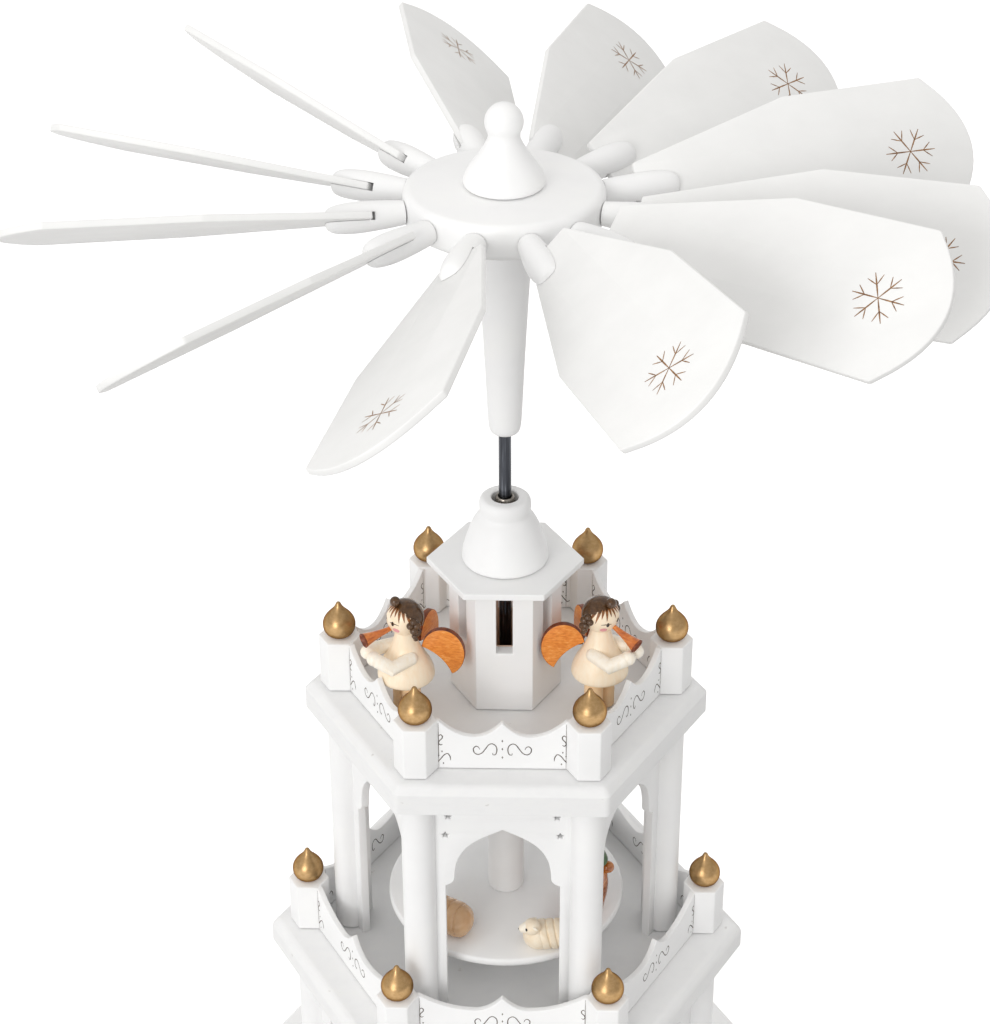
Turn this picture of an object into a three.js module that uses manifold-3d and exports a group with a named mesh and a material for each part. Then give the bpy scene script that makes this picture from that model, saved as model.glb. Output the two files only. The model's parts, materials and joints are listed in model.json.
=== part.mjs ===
// A hexagonal wooden christmas pyramid: two arcaded storeys, a lantern roof and a twelve-blade rotor.
// Millimetres, +Z up. The origin is the centre of the base's underside and Z is the shaft's axis.
import * as THREE from "three";
import { mergeVertices } from "three/addons/utils/BufferGeometryUtils.js";
import Module from "manifold-3d";

const wasm = await Module();
wasm.setup();

// Clearances
const SEAT_GAP = 0.3;
const RUNNING_GAP = 0.3;

// Storeys and floors
const SIDES = 6;
const UPPER_COLUMN_CIRCLE = 53.6;
const STOREY_STEP = 14.4;
const LOWER_STOREY_HEIGHT = 96;
const UPPER_STOREY_HEIGHT = 91;
const BASE_THICKNESS = 14;
const BASE_RIM = 10;
const FLOOR_THICKNESS = 10;
const FLOOR_BEVEL = 2.5;
const MIDDLE_FLOOR_OVERHANG = 14;
const TOP_FLOOR_OVERHANG = 12.4;
const FLOOR_HOLE_CLEARANCE = 3;

// Recesses for tealights in the base
const TEALIGHT_RADIUS = 20;
const TEALIGHT_DEPTH = 8;
const TEALIGHT_MARGIN = 2.7;

// Arcades
const COLUMN_RADIUS = 5.3;
const ARCH_PANEL_THICKNESS = 3;
const ARCH_LEG = 8.5;
const ARCH_CUSP_STEP = 2.9;
const ARCH_APEX_DROP = 13.8;
const ARCH_CUSP_DROP = 36.6;
const STAR_TIPS = 5;
const STAR_RADIUS = 1.8;
const STAR_INNER_RADIUS = 0.76;
const STAR_PLACES = [
  { fromColumn: 9.6, drop: 8.7 },
  { fromColumn: 8.6, drop: 16.1 },
];

// Balustrades and finials
const POST_RADIUS = 7;
const POST_HEIGHT = 18.2;
const RAIL_THICKNESS = 2;
const RAIL_DIP_HEIGHT = 11.9;
const RAIL_PEAK_HEIGHT = 17.1;
const RAIL_DIP_AT = 8.6;
const FINIAL_RADIUS = 5.3;
const FINIAL_HEIGHT = 12.4;

// Lantern and roof
const LANTERN_RADIUS = 18;
const LANTERN_HEIGHT = 45.7;
const LANTERN_WALL = 4.5;
const WINDOW_WIDTH = 5.3;
const WINDOW_HEIGHT = 23.8;
const ROOF_OVERHANG = 7;
const ROOF_THICKNESS = 2.2;
const DOME_RADIUS = 13.7;
const DOME_HEIGHT = 16.8;
const COLLAR_RADIUS = 8.2;
const COLLAR_HEIGHT = 5.6;
const BUSH_WALL = 1.9;
const BUSH_LENGTH = 5;
const BUSH_SINK = 3.1;
const BUSH_NECK_WALL = 0.7;
const BUSH_NECK_LENGTH = 3.4;

// Shaft, foot bearing and turntables
const SHAFT_RADIUS = 2;
const SHAFT_POINT = 3;
const BEARING_RADIUS = 6;
const BEARING_FLANGE = 9;
const BEARING_FLANGE_THICKNESS = 1.5;
const BEARING_FLOOR_THICKNESS = 1.5;
const BEARING_DEPTH = 8;
const TURNTABLE_THICKNESS = 3;
const TURNTABLE_MARGIN = 2.9;
const TURNTABLE_LIFT = 17.4;
const SPINDLE_RADIUS = 6.1;
const SPINDLE_HEIGHT = 40;

// Rotor
const BLADE_COUNT = 12;
const FIRST_BLADE_DEG = -75;
const HUB_RADIUS = 29.6;
const HUB_THICKNESS = 11;
const HUB_EDGE = 2.5;
const ROTOR_LIFT = 165.5;
const SLEEVE_LENGTH = 71;
const SLEEVE_TOP_RADIUS = 9;
const SLEEVE_FOOT_RADIUS = 4.9;
const SPIGOT_RADIUS = 4.5;
const SPIGOT_STANDS_PROUD = 5;
const CAP_RADIUS = 12;
const CAP_BELL_HEIGHT = 14.5;
const CAP_NECK_RADIUS = 4.7;
const CAP_BALL_RADIUS = 5.7;
const CAP_HEIGHT = 25;
const TENON_RADIUS = 3;
const TENON_WALL = 2.09;
const HOLDER_ROOT_RADIUS = 3.6;
const HOLDER_RADIUS = 4.6;
const HOLDER_NOSE_RADIUS = 2.6;
const HOLDER_LENGTH = 23;
const SLOT_DEPTH = 14;
const BLADE_END_ROOM = 1.2;
const BLADE_THICKNESS = 2.2;
const BLADE_LENGTH = 105.9;
const BLADE_ROOT_HALF = 7;
const BLADE_KINK_FROM_ROOT = 49.9;
const BLADE_KINK_HALF = 22;
const BLADE_TIP_FROM_ROOT = 93.9;
const BLADE_TIP_HALF = 23;
const BLADE_CORNER = 3;
// Pitch that each blade is set to by hand, counter-clockwise from the first
// Each blade as it was set by hand: its holder's pitch, the lean of the saw slot and the skew in the slot
const BLADE_SEATS = [
  { pitchDeg: 44, leanDeg: -2, skewDeg: 6.5 },
  { pitchDeg: 40, leanDeg: -4, skewDeg: 8 },
  { pitchDeg: 48, leanDeg: 0, skewDeg: -1 },
  { pitchDeg: 47, leanDeg: 0, skewDeg: 1 },
  { pitchDeg: 40, leanDeg: 0, skewDeg: 0.5 },
  { pitchDeg: 42, leanDeg: 1, skewDeg: -3 },
  { pitchDeg: 38, leanDeg: 5.5, skewDeg: -5.5 },
  { pitchDeg: 42, leanDeg: 5, skewDeg: 0 },
  { pitchDeg: 29.5, leanDeg: 3.5, skewDeg: -3 },
  { pitchDeg: 30, leanDeg: 3, skewDeg: 0 },
  { pitchDeg: 37, leanDeg: -3, skewDeg: 1 },
  { pitchDeg: 37, leanDeg: -4, skewDeg: 1 },
];

// Figures
const ANGEL_PLACES = [
  { deg: -152.5, faceDeg: -150, forward: 5.2 },
  { deg: -22, faceDeg: -30, forward: 3.2 },
  { deg: 90, faceDeg: 90, forward: 2.5 },
];
const LEG_RADIUS = 2.7;
const HEM_LEVEL = 13.7;
const DRESS_RADIUS = 9.1;
const HEAD_RADIUS = 5.8;
const HEAD_LEVEL = 35.3;
const BUN_RADIUS = 1.8;
const ARM_RADIUS = 1.8;
const SHOULDER = [-0.4, 4.8, 23.8];
const ELBOW = [7.6, 6.8, 21.2];
const HAND = [13, 2, 26.6];
const HAND_RADIUS = 2.3;
const TRUMPET_LENGTH = 11.8;
const TRUMPET_TUBE_RADIUS = 0.8;
const TRUMPET_BELL_RADIUS = 2.4;
const TRUMPET_TILT_DEG = 14;
const WING_HALF_WIDTH = 7;
const WING_HALF_HEIGHT = 8.6;
const WING_BITE_RADIUS = 15.7;
const WING_BITE_AT = [-11.9, -13.3];
const WING_THICKNESS = 2;
const WING_LEVEL = 23;
const WING_SPREAD_DEG = 38;
const SHEEP_PLACES = [
  { length: 17, fromRim: 5, deg: -65.5, faceDeg: 185 },
  { length: 20, fromRim: 9.3, deg: -129, faceDeg: 150 },
];
const SHEPHERD_HEIGHT = 29;
const SHEPHERD_RADIUS = 5.6;
const SHEPHERD_ARM_RADIUS = 1.2;
const HAT_RADIUS = 4.8;
const HAT_HEIGHT = 4.4;
const STAFF_RADIUS = 0.9;
const STAFF_HEIGHT = 34;
const STAFF_AT = [4.8, -6.2];
const SHEPHERD_PLACE = { fromRim: 8.6, deg: -24.8, faceDeg: -60 };
const NATIVITY_PLACES = [
  { fromRim: 17, deg: -90, height: 30, radius: 7 },
  { fromRim: 17, deg: 30, height: 34, radius: 7.5 },
  { fromRim: 17, deg: 150, height: 32, radius: 7 },
];

// Facets of round pieces
const FINE = 28;
const ROUND = 16;
const SMALL = 8;
const TINY = 6;

// Plan sizes that follow from the sizes above
const radians = THREE.MathUtils.degToRad;
const shaftBore = SHAFT_RADIUS + RUNNING_GAP;
const floorHole = SHAFT_RADIUS + FLOOR_HOLE_CLEARANCE;
const lowerColumnCircle = UPPER_COLUMN_CIRCLE + STOREY_STEP;
const middleFloorRadius = lowerColumnCircle + MIDDLE_FLOOR_OVERHANG;
const topFloorRadius = UPPER_COLUMN_CIRCLE + TOP_FLOOR_OVERHANG;
const tealightCircle = lowerColumnCircle + COLUMN_RADIUS + TEALIGHT_MARGIN + TEALIGHT_RADIUS;
const baseRadius = tealightCircle + TEALIGHT_RADIUS + BASE_RIM;
const lowerTurntableRadius = turntableRadius(lowerColumnCircle);
const upperTurntableRadius = turntableRadius(UPPER_COLUMN_CIRCLE);
const roofRadius = LANTERN_RADIUS + ROOF_OVERHANG;
const bushRadius = shaftBore + BUSH_WALL;
const galleryMiddle = (apothem(LANTERN_RADIUS) + apothem(UPPER_COLUMN_CIRCLE) - RAIL_THICKNESS) / 2;
const wingSpread = radians(WING_SPREAD_DEG);
const wingRoot = 0.5 * DRESS_RADIUS;
const wingCentre = 1.08 * WING_HALF_WIDTH;
const wingReach =
  wingRoot +
  (wingCentre + WING_HALF_WIDTH) * Math.cos(wingSpread) +
  (WING_THICKNESS / 2) * Math.sin(wingSpread);
const nearestAngel = apothem(LANTERN_RADIUS) + wingReach + SEAT_GAP;
const tenonBore = TENON_RADIUS + RUNNING_GAP;
const tenonStart = (BLADE_COUNT * (2 * tenonBore + TENON_WALL)) / (2 * Math.PI);
const holderRoot = HUB_RADIUS + SEAT_GAP;
const holderEnd = holderRoot + HOLDER_LENGTH;
const slotStart = holderEnd - SLOT_DEPTH;
const slotMiddle = slotStart + SLOT_DEPTH / 2;
const bladeRoot = slotStart + BLADE_END_ROOM;

// Levels that follow from the sizes above
const middleFloorBottom = BASE_THICKNESS + LOWER_STOREY_HEIGHT;
const middleFloorTop = middleFloorBottom + FLOOR_THICKNESS;
const topFloorBottom = middleFloorTop + UPPER_STOREY_HEIGHT;
const topFloorTop = topFloorBottom + FLOOR_THICKNESS;
const roofBottom = topFloorTop + LANTERN_HEIGHT + 2 * SEAT_GAP;
const domeBottom = roofBottom + ROOF_THICKNESS + SEAT_GAP;
const collarTop = domeBottom + DOME_HEIGHT + COLLAR_HEIGHT;
const hubBottom = topFloorTop + ROTOR_LIFT;
const hubTop = hubBottom + HUB_THICKNESS;
const holderLevel = hubBottom + HUB_THICKNESS / 2;
const sleeveTop = hubBottom - SEAT_GAP;
const sleeveBottom = sleeveTop - SLEEVE_LENGTH;
const spigotTop = hubTop + SEAT_GAP + SPIGOT_STANDS_PROUD;
const shaftTop = hubTop;
const shaftBottom = BASE_THICKNESS - BEARING_DEPTH + 2 * RUNNING_GAP;
const bearingFloor = shaftBottom - RUNNING_GAP;
const bearingBottom = bearingFloor - BEARING_FLOOR_THICKNESS;

// Painted and plain finishes
function finish(color, roughness, metalness) {
  return new THREE.MeshStandardMaterial({ color, roughness, metalness });
}
const white = finish(0xf3f1ec, 0.45, 0);
const gold = finish(0xb08a4e, 0.35, 0.8);
const steel = finish(0x55585c, 0.2, 1);
const brass = finish(0xc9a455, 0.3, 1);
const beech = finish(0xe4c391, 0.6, 0);
const fleece = finish(0xe9cfa5, 0.7, 0);
const cloth = finish(0xa8642f, 0.6, 0);

const pyramid = new THREE.Group();

function addMesh(parent, name, geometry, material) {
  const mesh = new THREE.Mesh(geometry, material);
  mesh.name = name;
  parent.add(mesh);
  return mesh;
}

// A closed geometry as a solid that can be joined and cut
function toSolid(geometry) {
  const bare = new THREE.BufferGeometry();
  const source = geometry.index ? geometry.toNonIndexed() : geometry;
  bare.setAttribute("position", source.getAttribute("position"));
  const merged = mergeVertices(bare, 1e-4);
  return new wasm.Manifold(
    new wasm.Mesh({
      numProp: 3,
      vertProperties: merged.getAttribute("position").array,
      triVerts: new Uint32Array(merged.index.array),
    }),
  );
}

function toGeometry(solid) {
  const { vertProperties, triVerts } = solid.getMesh();
  const geometry = new THREE.BufferGeometry();
  geometry.setAttribute("position", new THREE.BufferAttribute(vertProperties, 3));
  geometry.setIndex(new THREE.BufferAttribute(triVerts, 1));
  const faceted = geometry.toNonIndexed();
  faceted.computeVertexNormals();
  return faceted;
}

function joined(geometries) {
  return geometries.map(toSolid).reduce((whole, piece) => whole.add(piece));
}

function cut(geometry, tools) {
  return toGeometry(tools.map(toSolid).reduce((rest, tool) => rest.subtract(tool), toSolid(geometry)));
}

// A turned form about Z. A profile runs [radius, height] up the outside, and closes if it leaves the axis.
function turned(profile, segments = ROUND, startDeg = 0) {
  const onAxis = profile[0][0] === 0 && profile.at(-1)[0] === 0;
  const closed = onAxis ? profile : [...profile, profile[0]];
  const points = closed.map(([radius, height]) => new THREE.Vector2(radius, height));
  return new THREE.LatheGeometry(points, segments, radians(startDeg)).rotateX(Math.PI / 2);
}

// A six-sided form with its corners on the six corner directions
function hexagonal(profile) {
  return turned(profile, SIDES, 180 / SIDES);
}

function rod(radius, bottom, top, segments = SMALL) {
  const profile = [[0, bottom], [radius, bottom], [radius, top], [0, top]];
  return turned(profile, segments);
}

function arc(centreRadius, centreHeight, radius, fromDeg, toDeg, steps) {
  return Array.from({ length: steps + 1 }, (_, i) => {
    const angle = radians(fromDeg + ((toDeg - fromDeg) * i) / steps);
    return [centreRadius + radius * Math.cos(angle), centreHeight + radius * Math.sin(angle)];
  });
}

function curve(points, steps) {
  const vectors = points.map(([x, y]) => new THREE.Vector2(x, y));
  const bezier = new THREE.CubicBezierCurve(...vectors);
  return bezier.getPoints(steps).map(({ x, y }) => [x, y]);
}

function ball(radius, [x, y, z], segments = SMALL) {
  const sphere = new THREE.SphereGeometry(radius, segments, Math.ceil(segments / 2));
  return sphere.rotateX(Math.PI / 2).translate(x, y, z);
}

function box(width, depth, height) {
  return new THREE.BoxGeometry(width, depth, height);
}

// A flat outline stood upright: its x stays, its y becomes height, and it is thick towards -Y
function upright(shape, thickness, curveSegments) {
  const options = { depth: thickness, bevelEnabled: false, curveSegments };
  return new THREE.ExtrudeGeometry(shape, options).rotateX(Math.PI / 2);
}

function limb(points, radius) {
  const path = new THREE.CatmullRomCurve3(points.map((p) => new THREE.Vector3(...p)));
  const section = new THREE.Shape().absarc(0, 0, radius, 0, 2 * Math.PI);
  const options = { extrudePath: path, steps: 3, bevelEnabled: false, curveSegments: 3 };
  return new THREE.ExtrudeGeometry(section, options);
}

// Six copies round the axis, the first on the given direction
function aroundAxis(geometry, firstDeg) {
  return Array.from({ length: SIDES }, (_, i) =>
    geometry.clone().rotateZ(radians(firstDeg + (360 / SIDES) * i)),
  );
}

function onCircle(circle, deg, level) {
  return [circle * Math.cos(radians(deg)), circle * Math.sin(radians(deg)), level];
}

function place(object, circle, level, deg, faceDeg = deg) {
  object.position.set(...onCircle(circle, deg, level));
  object.rotation.z = radians(faceDeg);
}

function apothem(circle) {
  return circle * Math.cos(Math.PI / SIDES);
}

function turntableRadius(columnCircle) {
  return apothem(columnCircle) - ARCH_PANEL_THICKNESS - TURNTABLE_MARGIN;
}

// Floors: a hexagonal board with a bevelled top edge and a hole for the shaft
function board(radius, bottom, thickness) {
  const top = bottom + thickness;
  const edge = [[radius, top - FLOOR_BEVEL], [radius - FLOOR_BEVEL, top]];
  return hexagonal([[0, bottom], [radius, bottom], ...edge, [0, top]]);
}

function floorBoard(radius, bottom) {
  const hole = rod(floorHole, bottom - 1, bottom + FLOOR_THICKNESS + 1, ROUND);
  return cut(board(radius, bottom, FLOOR_THICKNESS), [hole]);
}

function baseBoard() {
  const floor = BASE_THICKNESS - TEALIGHT_DEPTH;
  const recess = rod(TEALIGHT_RADIUS, floor, BASE_THICKNESS + 1, ROUND).translate(tealightCircle, 0, 0);
  const seat = rod(BEARING_RADIUS + SEAT_GAP, bearingBottom - SEAT_GAP, BASE_THICKNESS + 1, ROUND);
  return cut(board(baseRadius, 0, BASE_THICKNESS), [...aroundAxis(recess, 0), seat]);
}

// Arcade of one storey: round columns under the corners, joined by thin panels with a keel arch
function starHole(x, y) {
  const hole = new THREE.Path();
  for (let i = 0; i < 2 * STAR_TIPS; i++) {
    const radius = i % 2 ? STAR_INNER_RADIUS : STAR_RADIUS;
    const angle = Math.PI / 2 + (Math.PI * i) / STAR_TIPS;
    const point = [x + radius * Math.cos(angle), y + radius * Math.sin(angle)];
    if (i) hole.lineTo(...point);
    else hole.moveTo(...point);
  }
  hole.closePath();
  return hole;
}

function archPanel(halfSpan, height, stars) {
  const opening = halfSpan - ARCH_LEG;
  const shoulder = opening - ARCH_CUSP_STEP;
  const apex = height - ARCH_APEX_DROP;
  const cusp = height - ARCH_CUSP_DROP;
  const spring = cusp + ARCH_CUSP_STEP;
  const rise = apex - spring;
  const shape = new THREE.Shape();
  shape.moveTo(-halfSpan, 0);
  shape.lineTo(-opening, 0);
  shape.lineTo(-opening, cusp);
  shape.quadraticCurveTo(-shoulder, cusp, -shoulder, spring);
  shape.bezierCurveTo(-shoulder, spring + 0.66 * rise, -0.5 * shoulder, spring + 0.8 * rise, 0, apex);
  shape.bezierCurveTo(0.5 * shoulder, spring + 0.8 * rise, shoulder, spring + 0.66 * rise, shoulder, spring);
  shape.quadraticCurveTo(shoulder, cusp, opening, cusp);
  shape.lineTo(opening, 0);
  shape.lineTo(halfSpan, 0);
  shape.lineTo(halfSpan, height);
  shape.lineTo(-halfSpan, height);
  for (const { fromColumn, drop } of stars) {
    shape.holes.push(starHole(halfSpan - fromColumn, height - drop));
    shape.holes.push(starHole(fromColumn - halfSpan, height - drop));
  }
  return upright(shape, ARCH_PANEL_THICKNESS, 4);
}

function arcade(circle, floor, storeyHeight, stars = []) {
  const height = storeyHeight - 2 * SEAT_GAP;
  const column = rod(COLUMN_RADIUS, 0, height, SMALL + 2).translate(circle, 0, 0);
  const panel = archPanel(circle / 2, height, stars).translate(0, ARCH_PANEL_THICKNESS - apothem(circle), 0);
  const pieces = [...aroundAxis(column, 0), ...aroundAxis(panel, 0)];
  return toGeometry(joined(pieces)).translate(0, 0, floor + SEAT_GAP);
}

// Balustrade of one gallery: six-sided posts at the corners and rails scalloped to a point between them
function scallopedRail(halfSpan) {
  const clear = halfSpan - POST_RADIUS;
  const outer = (clear + RAIL_DIP_AT) / 2;
  const inner = RAIL_DIP_AT / 2;
  const shape = new THREE.Shape();
  shape.moveTo(-halfSpan, 0);
  shape.lineTo(halfSpan, 0);
  shape.lineTo(halfSpan, POST_HEIGHT);
  shape.lineTo(clear, POST_HEIGHT);
  shape.quadraticCurveTo(outer, RAIL_DIP_HEIGHT, RAIL_DIP_AT, RAIL_DIP_HEIGHT);
  shape.quadraticCurveTo(inner, RAIL_DIP_HEIGHT, 0, RAIL_PEAK_HEIGHT);
  shape.quadraticCurveTo(-inner, RAIL_DIP_HEIGHT, -RAIL_DIP_AT, RAIL_DIP_HEIGHT);
  shape.quadraticCurveTo(-outer, RAIL_DIP_HEIGHT, -clear, POST_HEIGHT);
  shape.lineTo(-halfSpan, POST_HEIGHT);
  return upright(shape, RAIL_THICKNESS, 3);
}

function balustrade(circle, floor) {
  const post = hexagonal([[0, 0], [POST_RADIUS, 0], [POST_RADIUS, POST_HEIGHT], [0, POST_HEIGHT]]);
  const rail = scallopedRail(circle / 2).translate(0, RAIL_THICKNESS - apothem(circle), 0);
  const pieces = [...aroundAxis(post.translate(circle, 0, 0), 0), ...aroundAxis(rail, 0)];
  return toGeometry(joined(pieces)).translate(0, 0, floor + SEAT_GAP);
}

function finialForm() {
  const widest = 0.36 * FINIAL_HEIGHT;
  const onion = curve(
    [
      [FINIAL_RADIUS, widest],
      [FINIAL_RADIUS, 0.62 * FINIAL_HEIGHT],
      [0.35 * FINIAL_RADIUS, 0.74 * FINIAL_HEIGHT],
      [0, FINIAL_HEIGHT],
    ],
    4,
  );
  const foot = [[0, 0], [0.55 * FINIAL_RADIUS, 0], [0.86 * FINIAL_RADIUS, 0.14 * FINIAL_HEIGHT]];
  return turned([...foot, ...onion], SMALL);
}

function addFinials(prefix, circle, floor) {
  const form = finialForm();
  for (let i = 0; i < SIDES; i++) {
    const finial = addMesh(pyramid, `${prefix}_${i + 1}`, form, gold);
    place(finial, circle, floor + POST_HEIGHT + 2 * SEAT_GAP, (360 / SIDES) * i);
  }
}

// Lantern: a six-sided tube with a slot window in each face, open up to the roof board
function lanternHouse() {
  const inner = LANTERN_RADIUS - LANTERN_WALL / Math.cos(Math.PI / SIDES);
  const floor = topFloorTop + SEAT_GAP;
  const top = floor + LANTERN_HEIGHT;
  const tube = hexagonal([[inner, floor], [LANTERN_RADIUS, floor], [LANTERN_RADIUS, top], [inner, top]]);
  const window = box(WINDOW_WIDTH, 3 * LANTERN_RADIUS, 2 * WINDOW_HEIGHT).translate(0, 0, top);
  const windows = [0, 60, 120].map((deg) => window.clone().rotateZ(radians(deg)));
  return cut(tube, windows);
}

function roofBoard() {
  const top = roofBottom + ROOF_THICKNESS;
  const hole = rod(floorHole, roofBottom - 1, top + 1, ROUND);
  const sheet = hexagonal([[0, roofBottom], [roofRadius, roofBottom], [roofRadius, top], [0, top]]);
  return cut(sheet, [hole]);
}

// Bell-shaped dome with a collar that holds the upper bush on a ledge
function roofDome() {
  const bore = bushRadius + SEAT_GAP;
  const collarBottom = DOME_HEIGHT;
  const top = DOME_HEIGHT + COLLAR_HEIGHT;
  const ledge = top - BUSH_SINK - BUSH_LENGTH - SEAT_GAP;
  const ledgeBore = (bore + shaftBore) / 2;
  const bell = curve(
    [
      [DOME_RADIUS, 1.2],
      [0.97 * DOME_RADIUS, 0.36 * DOME_HEIGHT],
      [0.81 * DOME_RADIUS, 0.78 * DOME_HEIGHT],
      [COLLAR_RADIUS - 0.3, collarBottom],
    ],
    5,
  );
  const profile = [
    [ledgeBore, 0],
    [DOME_RADIUS - 0.5, 0],
    ...bell,
    [COLLAR_RADIUS, collarBottom + 1],
    [COLLAR_RADIUS, top - 1.4],
    [COLLAR_RADIUS - 0.9, top],
    [bore, top],
    [bore, ledge],
    [ledgeBore, ledge],
  ];
  return turned(profile).translate(0, 0, domeBottom);
}

function roofBush() {
  const shoulder = collarTop - BUSH_SINK;
  const bottom = shoulder - BUSH_LENGTH;
  const neck = shaftBore + BUSH_NECK_WALL;
  const neckTop = shoulder + BUSH_NECK_LENGTH;
  return turned([
    [shaftBore, bottom],
    [bushRadius, bottom],
    [bushRadius, shoulder],
    [neck, shoulder],
    [neck, neckTop],
    [shaftBore, neckTop],
  ]);
}

// Shaft with a pointed foot that stands in a flanged cup
function shaftForm() {
  const point = [[0, shaftBottom], [SHAFT_RADIUS, shaftBottom + SHAFT_POINT]];
  return turned([...point, [SHAFT_RADIUS, shaftTop], [0, shaftTop]], SMALL);
}

function footBearing() {
  const flangeBottom = BASE_THICKNESS + SEAT_GAP;
  const flangeTop = flangeBottom + BEARING_FLANGE_THICKNESS;
  const profile = [
    [0, bearingBottom],
    [BEARING_RADIUS, bearingBottom],
    [BEARING_RADIUS, flangeBottom],
    [BEARING_FLANGE, flangeBottom],
    [BEARING_FLANGE, flangeTop],
    [shaftBore + RUNNING_GAP, flangeTop],
    [shaftBore, bearingFloor + SHAFT_POINT],
    [0, bearingFloor],
  ];
  return turned(profile, SMALL + 4);
}

// Turntable: a thin disc with a turned spindle that grips the shaft
function turntable(radius, floor) {
  const bottom = floor + TURNTABLE_LIFT - TURNTABLE_THICKNESS;
  const top = bottom + TURNTABLE_THICKNESS;
  const edge = TURNTABLE_THICKNESS / 3;
  const spindleTop = top + SPINDLE_HEIGHT;
  return turned(
    [
      [shaftBore, bottom],
      [radius - edge, bottom],
      [radius, top - edge],
      [radius - edge, top],
      [SPINDLE_RADIUS, top],
      [SPINDLE_RADIUS, spindleTop],
      [shaftBore, spindleTop],
    ],
    FINE,
  );
}

// A plain turned figure: a robe and a ball head
function robedFigure(height, radius, segments) {
  const head = 0.62 * radius;
  const neck = height - 1.7 * head;
  const robe = curve(
    [
      [radius, 1],
      [0.8 * radius, 0.5 * neck],
      [0.75 * radius, 0.9 * neck],
      [0.3 * radius, neck],
    ],
    3,
  );
  const gown = turned([[0, 0], [radius, 0], ...robe, [0, neck]], segments);
  return toGeometry(joined([gown, ball(head, [0, 0, height - head], segments)]));
}

function nativityTurntable() {
  const level = BASE_THICKNESS + TURNTABLE_LIFT - TURNTABLE_THICKNESS / 2;
  const figures = NATIVITY_PLACES.map(({ fromRim, deg, height, radius }) =>
    robedFigure(height, radius, TINY).translate(...onCircle(lowerTurntableRadius - fromRim, deg, level)),
  );
  return toGeometry(joined([turntable(lowerTurntableRadius, BASE_THICKNESS), ...figures]));
}

// Rotor hub: a rounded disc with a bore for the sleeve's spigot and a ring of bores for the holders
function rotorHub() {
  const bore = SPIGOT_RADIUS + SEAT_GAP;
  const lower = arc(HUB_RADIUS - HUB_EDGE, HUB_EDGE, HUB_EDGE, -90, 0, 1);
  const upper = arc(HUB_RADIUS - HUB_EDGE, HUB_THICKNESS - HUB_EDGE, HUB_EDGE, 0, 90, 2);
  const profile = [[bore, 0], ...lower, ...upper, [bore, HUB_THICKNESS]];
  const disc = turned(profile, FINE).translate(0, 0, hubBottom);
  const drill = rod(tenonBore, tenonStart - SEAT_GAP, HUB_RADIUS + 1)
    .rotateY(Math.PI / 2)
    .translate(0, 0, holderLevel);
  const drills = Array.from({ length: BLADE_COUNT }, (_, i) => drill.clone().rotateZ(radians(bladeDeg(i))));
  return cut(disc, drills);
}

function rotorCap() {
  const bore = SPIGOT_RADIUS + SEAT_GAP;
  const socket = SPIGOT_STANDS_PROUD + SEAT_GAP;
  const ballCentre = CAP_HEIGHT - CAP_BALL_RADIUS;
  const bell = curve(
    [
      [CAP_RADIUS, 1.2],
      [0.96 * CAP_RADIUS, 0.34 * CAP_BELL_HEIGHT],
      [0.53 * CAP_RADIUS, 0.68 * CAP_BELL_HEIGHT],
      [CAP_NECK_RADIUS, CAP_BELL_HEIGHT],
    ],
    5,
  );
  const knob = arc(0, ballCentre, CAP_BALL_RADIUS, -45, 90, 5);
  knob.at(-1)[0] = 0;
  return turned([[0, socket], [bore, socket], [bore, 0], [CAP_RADIUS - 0.6, 0], ...bell, ...knob])
    .translate(0, 0, hubTop + SEAT_GAP);
}

// Tapered sleeve under the hub, with a spigot through the hub and a blind bore on the shaft
function rotorSleeve() {
  const flat = (shaftBore + SLEEVE_FOOT_RADIUS) / 2;
  const rounding = SLEEVE_FOOT_RADIUS - flat;
  const foot = arc(flat, rounding, rounding, -90, 0, 3);
  const shoulder = SLEEVE_LENGTH;
  const spigot = spigotTop - sleeveBottom;
  const blind = shaftTop + RUNNING_GAP - sleeveBottom;
  return turned([
    [0, blind],
    [shaftBore, blind],
    [shaftBore, 0],
    ...foot,
    [0.8 * SLEEVE_TOP_RADIUS, 0.52 * SLEEVE_LENGTH],
    [SLEEVE_TOP_RADIUS, shoulder],
    [SPIGOT_RADIUS, shoulder],
    [SPIGOT_RADIUS, spigot],
    [0, spigot],
  ]).translate(0, 0, sleeveBottom);
}

function bladeDeg(index) {
  return FIRST_BLADE_DEG + (360 / BLADE_COUNT) * index;
}

// Blade holder along +X: a tenon in the hub and a spindle-shaped peg with a saw slot for the blade
function bladeHolder(leanDeg) {
  const peg = turned(
    [
      [0, tenonStart],
      [TENON_RADIUS, tenonStart],
      [TENON_RADIUS, holderRoot],
      [HOLDER_ROOT_RADIUS, holderRoot],
      [HOLDER_RADIUS, holderRoot + 0.55 * HOLDER_LENGTH],
      [0.92 * HOLDER_RADIUS, holderRoot + 0.86 * HOLDER_LENGTH],
      [HOLDER_NOSE_RADIUS, holderEnd],
      [0, holderEnd],
    ],
    SMALL,
  ).rotateY(Math.PI / 2);
  const slot = box(2 * SLOT_DEPTH, 3 * HOLDER_RADIUS, BLADE_THICKNESS + 2 * SEAT_GAP);
  slot
    .translate(slotStart + SLOT_DEPTH - slotMiddle, 0, 0)
    .rotateY(radians(-leanDeg))
    .translate(slotMiddle, 0, 0);
  return cut(peg, [slot]);
}

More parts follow.
